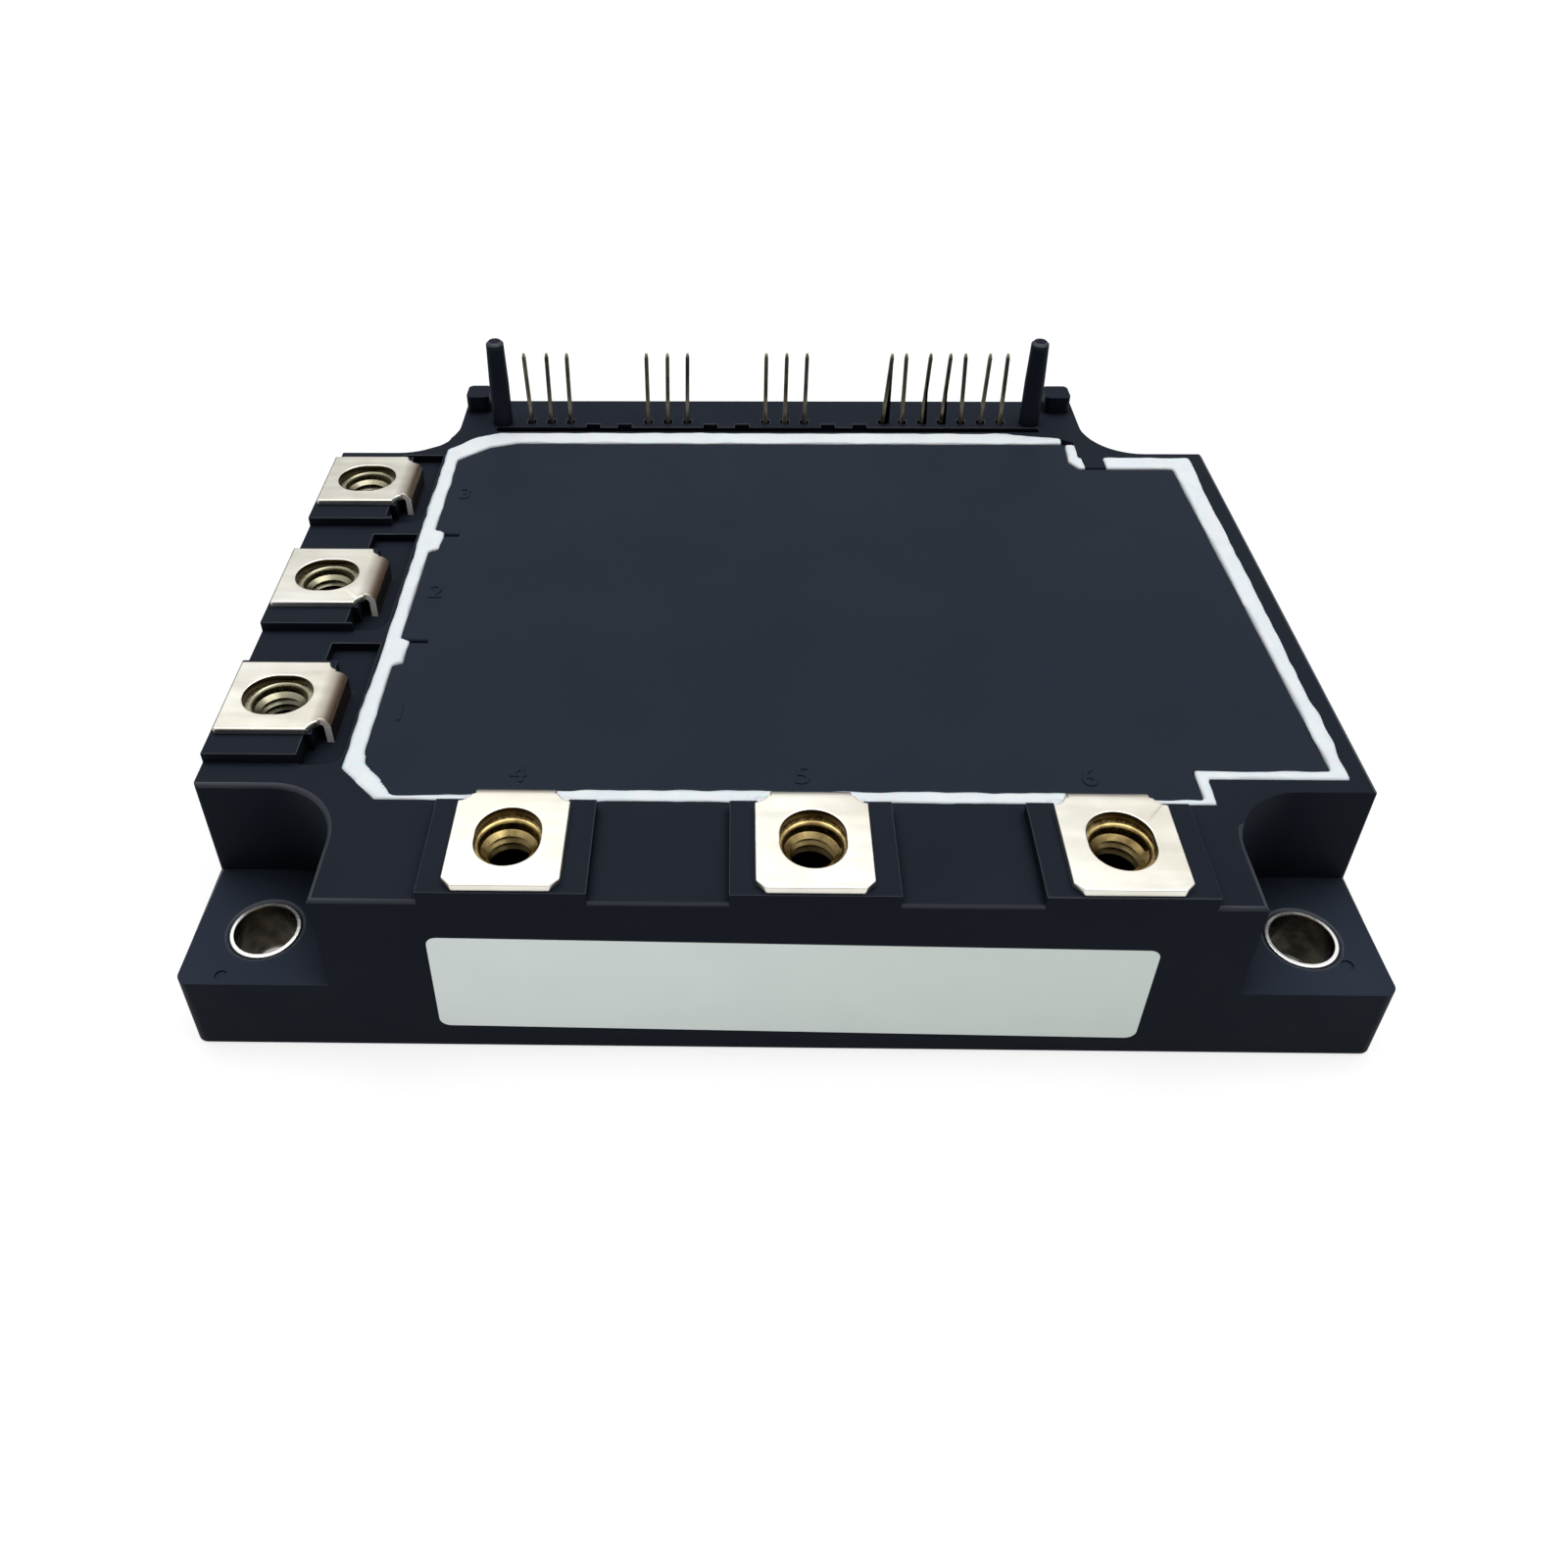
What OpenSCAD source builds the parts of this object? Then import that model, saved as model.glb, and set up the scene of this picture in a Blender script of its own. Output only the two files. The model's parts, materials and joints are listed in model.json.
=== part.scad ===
// Seven-switch IGBT power module with screw terminals, control pins and mounting corners.
// Millimetres, +Z up. Origin: middle of the underside. +X along the row of front terminals,
// -Y is the side of the front terminals and the label.

/* [Case] */
// Overall length, along X
body_w = 108; // [106:0.5:112]
// Overall depth, along Y
body_d = 87; // [86:0.5:90]
// Height of the case top, without the terminal seats
top_h = 19.9; // [19:0.1:22]
// Height of the four mounting corners
flange_h = 8.6; // [8:0.1:10]
// Radius of the upright outer edges
corner_r = 1.2; // [0.6:0.1:2]
// Length of each cut-away mounting corner, along X
notch_w = 13.9; // [13:0.1:14.5]
// Depth of each cut-away mounting corner, along Y
notch_d = 13.6; // [13:0.1:14]
// Radius where the two walls of a cut-away meet
notch_r = 6.8; // [5:0.1:7]

/* [Mounting] */
// Distance between the mounting holes, along X
hole_x = 95; // [94:0.1:96]
// Distance between the mounting holes, along Y
hole_y = 74.5; // [74:0.1:75]
// Diameter of a mounting hole
hole_d = 5.5; // [5:0.1:5.8]
// Outer diameter of a metal collar
collar_d = 6.5; // [6.2:0.1:7]
// Thickness of the base plate
base_t = 3; // [2.5:0.1:3.5]
// How far the base plate stands out below the case
base_proud = 0.2; // [0.1:0.1:0.4]

/* [Terminals] */
// Distance between the front terminals
front_pitch = 26.25; // [25:0.05:26.5]
// Middle front terminal, along X
front_mid = 2.56; // [1:0.01:3]
// Distance between the left terminals
left_pitch = 20; // [19.5:0.1:20.5]
// Middle left terminal, along Y
left_mid = 0.7; // [0:0.1:1.2]
// Width of a terminal plate
plate_w = 10; // [9.6:0.1:10.2]
// Thickness of the terminal strip
strip_t = 0.8; // [0.6:0.1:1]
// Flat length of a front terminal plate, up to its bend
front_plate_l = 10.75; // [10.5:0.05:10.8]
// Flat length of a left terminal plate, up to its bend
left_plate_l = 9.75; // [9.6:0.05:10]
// Screw slot width in a terminal plate
slot_w = 5.7; // [5.5:0.1:6]
// Screw slot length in a terminal plate
slot_l = 6.75; // [6.2:0.05:7]
// Thread size of the terminal nuts
nut_thread_d = 5; // [4:1:5]
// Height of the terminal seats above the case top
seat_h = 1.1; // [0.8:0.1:1.4]

/* [Control pins] */
// Pin spacing
pin_pitch = 2.54; // [2.5:0.01:2.58]
// Side of a square pin
pin_side = 0.5; // [0.45:0.01:0.7]
// Height of the pin tips
pin_tip_z = 29.7; // [28:0.1:32]
// Share kept of the slight lean that handling gave the pins
pin_bend = 1; // [0:0.1:1]
// Distance between the guide pins
guide_gap = 68.4; // [67.4:0.1:68.8]
// Diameter at the foot of a guide pin
guide_d = 2.5; // [2.2:0.1:2.8]
// Height of the guide pin tips
guide_tip_z = 31.5; // [30:0.1:34]

/* [Lid] */
// Thickness of the lid
lid_t = 1.9; // [1.6:0.1:2.2]
// How far the lid lies below the case top
lid_sink = 0.1; // [0:0.05:0.2]

/* [Power circuit] */
// Width of one power cell on the substrates
cell_w = 19.4; // [19:0.1:19.6]
// Side of an IGBT die
igbt_side = 8.6; // [7:0.1:9]
// Side of a diode die
diode_side = 5.6; // [4.5:0.1:6]
// Thickness of the dies
die_t = 0.35; // [0.2:0.05:0.5]
// Diameter of the bond wires
wire_d = 0.4; // [0.3:0.05:0.5]
// Thickness of the control board
board_t = 1; // [0.8:0.1:1.6]

/* [Hidden] */
hw = body_w / 2;
hd = body_d / 2;
fine = 64;
cut = 1;                         // overshoot of a cutter past a face
seat_z = top_h + seat_h;         // top of the terminal seats

front_x = [for (i = [-1:1]) front_mid + i * front_pitch];
left_y = [for (i = [-1:1]) left_mid + i * left_pitch];
front_edge = -hd + 0.15;         // outer edge of the front plates
left_edge = -hw + 0.5;           // outer edge of the left plates

// Terminal pressing, seen along its own inward direction
bend_in = 0.3;
bend_out = bend_in + strip_t;
neck_w = plate_w - 2.8;
relief_r = 1.15;
relief_in = 0.3;                 // from the bend line to the middle of a relief
foot_z = 6.4;                    // underside of the foot
front_foot = 17.5;
left_foot = 20;
ledge_half = 4.5;                // half width of the ledge under a foot
hole_in = [5.6, 4.9];            // outer plate edge to the middle of the screw slot, front and left

// M5 nut and the screw well below it
nut_flats = 8;
nut_h = 4;
well_d = 6;
well_floor = 10.5;

// Raised seats, from the middle of their plate: half width in front, to both sides at the left
seat_front = 7.2;
seat_left = [7.6, 6.2];
seat_left_in = [8.5, 9.2];       // length along X, at its front corner and beside the nut
seat_corner = 4.8;               // where the shorter front corner begins
neck_recess = 1;                 // depth of the recesses around the necks
seat_front_back = 0.2;           // gap between the back of a front seat and the leg
recess_front = [7.8, 7.4, 7];    // reach of the left recesses to the front
recess_back = [10.4, 10.7, 8.5]; // reach of the left recesses to the back
recess_out = 7.4;                // outer end of their back part, from the plate edge
recess_r = 1.5;
bead_neck = [4.7, 0.9, 0.4];     // bead around a front neck: half width, reach outwards, rise

// Lid, bead and the pocket that takes both
ledge_z = top_h - lid_sink - lid_t;
lid_l = -hw + 14.8;
lid_r = hw - 3.3;
lid_f = -hd + 12.55;
lid_set_back = 0.7;              // extra room for the bead between the front terminals
lid_b = hd - 11;
lid_step_r = hw - 15.9;          // where the lid narrows for the right mounting corners
lid_step_f = -hd + 16.3;
lid_step_b = hd - 17;
corner_cut = 3.6;
glue_recess = 1;                 // depth of the glue recesses in the lid's left edge
glue_y = [-10.2, 10.2];
slit_y = [-8.3, 11.5];           // thin slits in the lid beside the glue recesses
slit_l = 1.9;
slit_w = 0.45;
slit_depth = 0.9;
pocket_l = lid_l - 1.5;
pocket_r = lid_r + 1.3;
pocket_f = -hd + 11.9;
pocket_b = lid_b + 2.4;
pocket_step_r = lid_step_r + 0.9;
pocket_step_f = lid_step_f - 1.1;
pocket_step_b = lid_step_b + 2.4;
bead_taper = 1.2;                // narrowing of the bead at the right end of the pin strip
bridge = [hw - 15.1, hw - 12.6]; // plastic bridge across the bead, right back corner
bead_gap = [hw - 17, hw - 15.4, hd - 11.4, hd - 8];

// Cavity below the lid
cav_l = -hw + 16.6;
cav_r = hw - 5.3;
cav_step = hw - 17.4;
cav_f = -hd + 14;
cav_b = hd - 12.4;
cav_side_f = -hd + 17.3;
cav_side_b = hd - 18.2;

// Pin strip along the back
pin_y = hd - 5.6;
pin_start = -30.95;
pin_cols = [0, 1, 2, 6, 7, 8, 12, 13, 14, 18, 19, 20, 21, 22, 23, 24];
function pin_x(i) = pin_start + pin_cols[i] * pin_pitch;
pin_turn = [-1.6, 0.4, 0.6, 0.3, 1.1, 1.1, 0, 0.3, 0.4, 3.7, -0.7, 2.4, 2.2, -1.7, 1.5, -0.4];
pin_root = 0.3;                  // the lean starts this far below the case top
pin_taper = 0.6;
pin_tip = 0.14;                  // half side of a pin's flat end
gap_mid = [for (col = [4, 10, 16]) pin_start + col * pin_pitch];
tail_z = 13.5;                   // underside of the pin tails, top of the control board
tail_end = pin_y - 8.6;
guide_x = [-guide_gap / 2 - 0.5, guide_gap / 2 - 0.5];
slot_y = [hd - 8.2, hd - 7.1];   // dark slot in front of the strip
lug_h = 2.3;
lug_d = 3.3;
lug_r = 0.7;
lug_x = [[-hw + notch_w + 0.3, -hw + 17.2], [hw - 17.9, hw - notch_w - 0.7]];

// Label on the front face
label_l = 63;
label_h = 12.2;
label_t = 0.12;
label_x = 0.7;
label_z = 8.7;
label_tilt = 0.8;

// Power circuit stack on the base plate
backing_t = 0.3;
ceramic_t = 0.64;
copper_t = 0.36;
ceramic_z = base_t + backing_t;
copper_z = ceramic_z + ceramic_t;
die_z = copper_z + copper_t;
wire_z = die_z + die_t;
tile_w = 2 * cell_w + 0.8;
tile_y = [-24.6, 23.4];
tile_x = [-13.1, 28];            // middles of the two substrates
cell_x = [for (t = tile_x) for (s = [-0.5, 0.5]) t + s * cell_w];
upper_y = 8.6;                   // middle of the upper island of a cell
lower_y = -10.6;                 // middle of the lower island of a cell
island_d = 17;
pad_y = 20.4;                    // row of signal pads
pad_half = [1.4, 2];
strip_gap = 0.8;                 // between the lower island and the emitter strip
strip_d = 3.6;
tab_x = 1.3;                     // tab of the first cell that takes the wires of the back left terminal
lead_x = [-6, -2, 2, 6];
lead_r = 0.3;
brake_cell = 3;                  // this cell has one IGBT and one diode only
igbt_off = [-4, -4];             // die middle from the middle of its island
diode_off = [4.9, -5];
wire_land = 11.2;                // landing line of a die's wires, below the middle of its island
igbt_wire_x = [-1.6, 0, 1.6];
diode_wire_x = [-1, 1];
front_wire_x = [-2.8, -1.8, 1.8, 2.8];
left_wire_y = [[-22.2, -21.4, -20.6], [1.4, 2.4, 3.4], [18.9, 20.4, 21.9]];
loop_clear = 3;                  // room above the dies for the wire loops

// Control board, inside the cavity
board_z = tail_z - board_t;
board_x = [cav_l + 1.2, cav_r - 1.2];
board_y = [-6, cav_side_b - 0.4];
board_back = [cav_step - 0.4, cav_b - 0.4];
rest_w = 4;                      // side of the pads that carry the board
rest_z = base_t + 8;
rest_in = 2;
lead_z = tail_z + 0.5;           // tops of the gate leads

// Ribs below the lid
rib_t = 1.2;
rib_h = 1.6;
rib_x = [-20, 0, 20];
rib_y = [-14, 14];

gel_top = 10.6;

// Shallow round marks on the two front mounting corners
mark_at = [[-50.1, -42.5], [50.6, -40.2]];
mark_d = 1.1;
mark_depth = 0.15;
edge_break = 0.35;               // chamfer of the nuts and guide pin ends

TERMINALS = ["w", "v", "u", "n", "p", "b"];
CORNERS = [["front_left", -1, -1], ["front_right", 1, -1], ["back_left", -1, 1], ["back_right", 1, 1]];

// ---------- helpers ----------

// Box between two corners
module box(a, b) {
    translate(a) cube([b[0] - a[0], b[1] - a[1], b[2] - a[2]]);
}

// Rectangle about the middle with true round corners
module round_rect(w, d, r) {
    square([w - 2 * r, d], center = true);
    square([w, d - 2 * r], center = true);
    for (x = [-1, 1]) for (y = [-1, 1])
        translate([x * (w / 2 - r), y * (d / 2 - r)]) circle(r, $fn = fine);
}

// Obround along Y
module obround(w, l) {
    square([w, l - w], center = true);
    for (s = [-1, 1]) translate([0, s * (l - w) / 2]) circle(w / 2, $fn = fine);
}

// Quarter of a ring in the Y-Z plane, centred at the origin, extruded along X
module bend(w, quadrant) {
    rotate([90 * quadrant, 0, 0])
    intersection() {
        rotate([0, 90, 0]) difference() {
            cylinder(h = w, r = bend_out, center = true, $fn = fine);
            cylinder(h = w + 2 * cut, r = bend_in, center = true, $fn = fine);
        }
        box([-w, 0, 0], [w, bend_out + cut, bend_out + cut]);
    }
}

function slot_in(i) = hole_in[i < 3 ? 0 : 1];
function foot_end(i) = i < 3 ? front_foot : left_foot;
function plate_l(i) = i < 3 ? front_plate_l : left_plate_l;
function leg_near(i) = plate_l(i) + bend_in;    // outer face of the upright leg
function leg_far(i) = plate_l(i) + bend_out;    // inner face of the upright leg

// Puts a terminal-side shape at terminal number i: 0 to 2 in front, 3 to 5 at the left
module at_terminal(i) {
    if (i < 3) translate([front_x[i], front_edge, 0]) children();
    else translate([left_edge, left_y[i - 3], 0]) rotate([0, 0, -90]) children();
}

// Puts a shape at every mounting hole
module at_corners() {
    for (c = CORNERS) translate([c[1] * hole_x / 2, c[2] * hole_y / 2, 0]) children();
}

// ---------- terminals and fasteners ----------

// One pressed terminal: plate with screw slot, neck bent down, leg, foot bent inwards
module terminal_shape(i) {
    corner = i < 3 ? 0.85 : 0.1;
    w = plate_w / 2;
    l = plate_l(i);
    translate([0, 0, seat_z]) linear_extrude(strip_t) difference() {
        polygon([[corner - w, 0], [w - corner, 0], [w, corner], [w, l], [-w, l], [-w, corner]]);
        translate([0, slot_in(i)]) obround(slot_w, slot_l);
        for (s = [-1, 1]) translate([s * w, l + relief_in]) circle(relief_r, $fn = fine);
    }
    translate([0, l, seat_z - bend_in]) bend(neck_w, 0);
    box([-neck_w / 2, leg_near(i), foot_z + bend_out], [neck_w / 2, leg_far(i), seat_z - bend_in]);
    translate([0, leg_far(i) + bend_in, foot_z + bend_out]) bend(neck_w, 2);
    box([-neck_w / 2, leg_far(i) + bend_in, foot_z], [neck_w / 2, foot_end(i), foot_z + strip_t]);
}

module terminal(i) {
    color([0.86, 0.85, 0.79]) at_terminal(i) terminal_shape(i);
}

// M5 nut under a terminal plate, its corners and the mouths of its bore chamfered
module nut(i) {
    across = nut_flats / cos(30);
    color([0.78, 0.66, 0.38]) at_terminal(i) translate([0, slot_in(i), seat_z - nut_h])
    difference() {
        intersection() {
            cylinder(h = nut_h, d = across, $fn = 6);
            union() {
                cylinder(h = edge_break, d1 = across - 2 * edge_break, d2 = across, $fn = fine);
                translate([0, 0, edge_break]) cylinder(h = nut_h - 2 * edge_break, d = across, $fn = fine);
                translate([0, 0, nut_h - edge_break])
                    cylinder(h = edge_break, d1 = across, d2 = across - 2 * edge_break, $fn = fine);
            }
        }
        translate([0, 0, -cut]) cylinder(h = nut_h + 2 * cut, d = nut_thread_d, $fn = fine);
        for (m = [0, 1]) translate([0, 0, m * nut_h]) mirror([0, 0, m])
            cylinder(h = edge_break, d1 = nut_thread_d + 2 * edge_break, d2 = nut_thread_d, $fn = fine);
    }
}

// Metal collar in a mounting corner
module collar(c) {
    color([0.83, 0.84, 0.86])
    translate([c[1] * hole_x / 2, c[2] * hole_y / 2, base_t]) difference() {
        cylinder(h = flange_h - base_t, d = collar_d, $fn = fine);
        translate([0, 0, -cut]) cylinder(h = flange_h, d = hole_d, $fn = fine);
    }
}

// Nickel-plated base plate with the four mounting holes
module base_plate() {
    color([0.74, 0.74, 0.73]) difference() {
        linear_extrude(base_t) round_rect(body_w - 4, body_d - 4, 2);
        at_corners() translate([0, 0, -cut]) cylinder(h = base_t + 2 * cut, d = hole_d, $fn = fine);
    }
}

// ---------- control pins ----------

// Tapered profile of the free part of a pin, x across and y up, from its root
module pin_profile() {
    h = pin_side / 2;
    l = pin_tip_z - top_h + pin_root;
    polygon([[-h, 0], [h, 0], [h, l - pin_taper], [pin_tip, l], [-pin_tip, l], [-h, l - pin_taper]]);
}

// L-shaped control pin with a tapered tip and a tail on the control board
module control_pin(i) {
    h = pin_side / 2;
    root = top_h - pin_root;
    color([0.62, 0.55, 0.42]) translate([pin_x(i), pin_y, 0]) {
        box([-h, -h, tail_z], [h, h, root]);
        box([-h, tail_end - pin_y, tail_z], [h, h, tail_z + pin_side]);
        translate([0, 0, root]) rotate([0, pin_bend * pin_turn[i], 0]) intersection() {
            rotate([90, 0, 0]) linear_extrude(pin_side, center = true) pin_profile();
            rotate([90, 0, 90]) linear_extrude(pin_side, center = true) pin_profile();
        }
    }
}

// The straight part of a pin that the case is moulded around
module pin_channel(i) {
    h = pin_side / 2;
    x = pin_x(i);
    box([x - h, cav_b - cut, tail_z], [x + h, pin_y + h, tail_z + pin_side]);
    box([x - h, pin_y - h, tail_z], [x + h, pin_y + h, top_h + cut]);
    box([x - 0.55, pin_y - 0.6, top_h - 0.5], [x + 0.55, pin_y + 0.6, top_h + cut]);
}

// ---------- case ----------

// The cut-away above a mounting corner, for the corner at +X +Y
module corner_cutter() {
    x = hw - notch_w;
    y = hd - notch_d;
    z = top_h + 10;
    translate([0, 0, flange_h]) {
        box([x + notch_r, y, 0], [hw + cut, hd + cut, z]);
        box([x, y + notch_r, 0], [hw + cut, hd + cut, z]);
        translate([x + notch_r, y + notch_r, 0]) cylinder(h = z, r = notch_r, $fn = fine);
    }
}

// Outline of the pocket for the lid and its bead
module pocket_outline() {
    polygon([
        [pocket_l, pocket_f + 4], [pocket_l + 3.8, pocket_f],
        [pocket_step_r, pocket_f], [pocket_step_r, pocket_step_f],
        [pocket_r, pocket_step_f], [pocket_r, pocket_step_b],
        [pocket_step_r - 0.5, pocket_step_b], [pocket_step_r - 0.5, pocket_b - 2.2],
        [pocket_step_r - 2.2, pocket_b - bead_taper], [pocket_step_r - 10, pocket_b],
        [pocket_l + 6.1, pocket_b],
        [pocket_l + 3.2, pocket_b - 1.1], [pocket_l, pocket_b - 4.3]]);
}

// Outline of the lid, with chamfered left corners, stepped right corners and two glue recesses
module lid_outline() {
    difference() {
        polygon([
            [lid_l, lid_f + 6], [lid_l + 0.5, lid_f + 4], [lid_l + corner_cut + 0.2, lid_f],
            [front_x[0], lid_f], [front_x[0], lid_f + lid_set_back],
            [front_x[2], lid_f + lid_set_back], [front_x[2], lid_f],
            [lid_step_r, lid_f], [lid_step_r, lid_step_f],
            [lid_r, lid_step_f], [lid_r - 1.1, lid_step_b],
            [lid_step_r, lid_step_b], [lid_step_r - 1, lid_step_b + 1.6],
            [lid_step_r - 0.7, lid_b], [lid_l + 7, lid_b],
            [lid_l + corner_cut, lid_b - 1.1], [lid_l, lid_b - 4.2]]);
        for (y = glue_y) translate([lid_l, y])
            polygon([[-cut, -2.1], [0, -2.1], [glue_recess, -1.7],
                     [glue_recess, 1.7], [0, 2.1], [-cut, 2.1]]);
    }
}

// Block of the case at full height, with round upright edges
module case_block() {
    difference() {
        translate([0, 0, base_proud]) linear_extrude(top_h - base_proud)
            round_rect(body_w, body_d, corner_r);
        for (m = [0, 1]) for (n = [0, 1]) mirror([m, 0, 0]) mirror([0, n, 0]) corner_cutter();
    }
}

// Raised seats that carry the terminal plates
module terminal_seats() {
    back = front_edge + leg_near(0) - seat_front_back;
    for (x = front_x)
        box([x - seat_front, -hd, top_h - cut], [x + seat_front, back, seat_z]);
    for (y = left_y)
        box([-hw, y - seat_left[0], top_h - cut], [left_edge + seat_left_in[1], y + seat_left[1], seat_z]);
}

// Room around the neck of front terminal i, from the recess floor up to z
module front_recess(i, z) {
    at_terminal(i)
        box([-bead_neck[0], plate_l(i) - bead_neck[1], top_h - neck_recess],
            [bead_neck[0], pocket_f - front_edge + 0.05, z]);
}

// Outline of the open recess around the neck of left terminal i, wider behind its seat
module left_recess(i) {
    f = recess_front[i - 3];
    b = -recess_back[i - 3];
    end = pocket_l - 0.35 - left_edge;
    difference() {
        polygon([[b, recess_out], [-seat_left[1], recess_out], [-seat_left[1], seat_left_in[1]],
                 [seat_corner, seat_left_in[1]], [seat_corner, seat_left_in[0]],
                 [f, seat_left_in[0]], [f, end], [b, end]]);
        translate([f - recess_r, end - recess_r]) difference() {
            square(2 * recess_r);
            circle(recess_r, $fn = fine);
        }
    }
}

// Recesses around the necks of the terminals; those in front are filled by the bead
module neck_recesses() {
    for (i = [0:2]) front_recess(i, seat_z + cut);
    for (i = [3:5]) at_terminal(i) translate([0, 0, top_h - neck_recess])
        linear_extrude(seat_h + neck_recess + cut) left_recess(i);
}

// Hexagonal seats and screw wells for the nuts
module nut_cutters() {
    for (i = [0:5]) at_terminal(i) translate([0, slot_in(i), 0]) {
        translate([0, 0, seat_z - nut_h]) cylinder(h = nut_h + cut, d = nut_flats / cos(30), $fn = 6);
        translate([0, 0, well_floor]) cylinder(h = seat_z - well_floor, d = well_d, $fn = fine);
    }
}

// Cavity under the lid, open below to the base plate
module cavity() {
    z = [base_proud - cut, ledge_z + cut];
    box([cav_l, cav_f, z[0]], [cav_step, cav_b, z[1]]);
    box([cav_step - cut, cav_side_f, z[0]], [cav_r, cav_side_b, z[1]]);
}

// Ledges under the terminal feet and corner pads under the control board
module inner_ledges() {
    for (i = [0:5]) at_terminal(i)
        box([-ledge_half, leg_far(i), base_t], [ledge_half, foot_end(i) + 0.4, foot_z]);
    for (y = [board_y[0], board_y[1] - rest_w])
        box([board_x[1] - rest_in, y, rest_z], [cav_r + cut, y + rest_w, board_z]);
    box([cav_l - cut, board_y[0], rest_z], [board_x[0] + rest_in, board_y[0] + rest_w, board_z]);
    box([cav_l, board_back[1] - 1.2, rest_z], [board_back[0], cav_b + cut, board_z]);
}

// Guide pin: straight foot, tapered shank and chamfered end
module guide_pin() {
    r = guide_d / 2;
    r_tip = r - 0.14;
    straight = 6;
    taper = guide_tip_z - top_h - straight - edge_break;
    translate([0, 0, -cut]) cylinder(h = straight + cut, r = r, $fn = fine);
    translate([0, 0, straight]) cylinder(h = taper, r1 = r, r2 = r_tip, $fn = fine);
    translate([0, 0, straight + taper])
        cylinder(h = edge_break, r1 = r_tip, r2 = r_tip - edge_break, $fn = fine);
}

// Cuts along the pin strip: dark slot, notches between the pin groups, pin channels
module strip_cutters() {
    box([guide_x[0] - 0.6, slot_y[0], top_h - 4.5], [guide_x[1] + 1, slot_y[1], top_h + cut]);
    for (m = gap_mid) for (s = [-2.05, 2.05])
        box([m + s - 0.9, slot_y[1] - cut, top_h - 1.6], [m + s + 0.9, slot_y[1] + 0.9, top_h + cut]);
    for (i = [0:15]) pin_channel(i);
}

// The whole moulding
module case() {
    color([0.13, 0.14, 0.16]) {
        difference() {
            union() {
                case_block();
                terminal_seats();
                for (x = lug_x) translate([(x[0] + x[1]) / 2, hd - lug_d / 2, top_h - cut])
                    linear_extrude(lug_h + cut) round_rect(x[1] - x[0], lug_d, lug_r);
            }
            cavity();
            translate([0, 0, ledge_z]) linear_extrude(seat_h + 4) pocket_outline();
            linear_extrude(base_t) round_rect(body_w - 4, body_d - 4, 2);
            at_corners() cylinder(h = flange_h + cut, d = collar_d, $fn = fine);
            neck_recesses();
            nut_cutters();
            for (i = [0:5]) at_terminal(i) terminal_shape(i);
            strip_cutters();
            label_shape(label_t + cut);
            for (p = mark_at) translate([p[0], p[1], flange_h - mark_depth])
                cylinder(h = mark_depth + cut, d = mark_d, $fn = fine);
        }
        inner_ledges();
        box([bridge[0], lid_step_b, ledge_z - cut], [bridge[1], pocket_step_b + cut, top_h]);
        for (x = guide_x) translate([x, pin_y - 0.2, top_h]) guide_pin();
    }
}

// ---------- lid, bead and label ----------

// Lid with two slits beside its glue recesses and stiffening ribs below
module lid() {
    color([0.17, 0.18, 0.21]) {
        difference() {
            translate([0, 0, ledge_z]) linear_extrude(lid_t) lid_outline();
            for (y = slit_y) translate([lid_l + glue_recess - cut, y, ledge_z + lid_t - slit_depth])
                box([0, -slit_w / 2, 0], [slit_l + cut, slit_w / 2, slit_depth + cut]);
        }
        translate([0, 0, ledge_z - rib_h]) linear_extrude(rib_h + lid_t / 2) {
            for (x = rib_x) translate([x, 0]) square([rib_t, 2 * (cav_b - 2)], center = true);
            for (y = rib_y) translate([0, y]) square([2 * (cav_step - 2), rib_t], center = true);
        }
    }
}

// White silicone bead between lid and case, also filling the recesses around the front necks
module lid_adhesive() {
    z = [ledge_z - cut, top_h + cut];
    color([0.93, 0.94, 0.97]) difference() {
        union() {
            translate([0, 0, ledge_z]) linear_extrude(top_h - ledge_z) difference() {
                pocket_outline();
                lid_outline();
            }
            for (i = [0:2]) front_recess(i, top_h + bead_neck[2]);
        }
        box([bridge[0], lid_step_b - cut, z[0]], [bridge[1], pocket_step_b + cut, z[1]]);
        box([bead_gap[0], bead_gap[2], z[0]], [bead_gap[1], bead_gap[3], z[1]]);
        for (i = [0:2]) at_terminal(i) terminal_shape(i);
    }
}

// Foil label, t thick, from the floor of its shallow recess outwards
module label_shape(t) {
    translate([label_x, -hd + label_t, label_z]) rotate([90, 0, 0]) rotate([0, 0, -label_tilt])
        linear_extrude(t) round_rect(label_l, label_h, 1);
}

module label() {
    color([0.75, 0.78, 0.77]) label_shape(label_t);
}

// ---------- power circuit ----------

module backing_copper(t) {
    color([0.75, 0.45, 0.3])
        box([tile_x[t] - tile_w / 2 + 0.6, tile_y[0] + 0.6, base_t],
            [tile_x[t] + tile_w / 2 - 0.6, tile_y[1] - 0.6, ceramic_z]);
}

module ceramic(t) {
    color([0.93, 0.92, 0.88])
        box([tile_x[t] - tile_w / 2, tile_y[0], ceramic_z], [tile_x[t] + tile_w / 2, tile_y[1], copper_z]);
}

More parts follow.
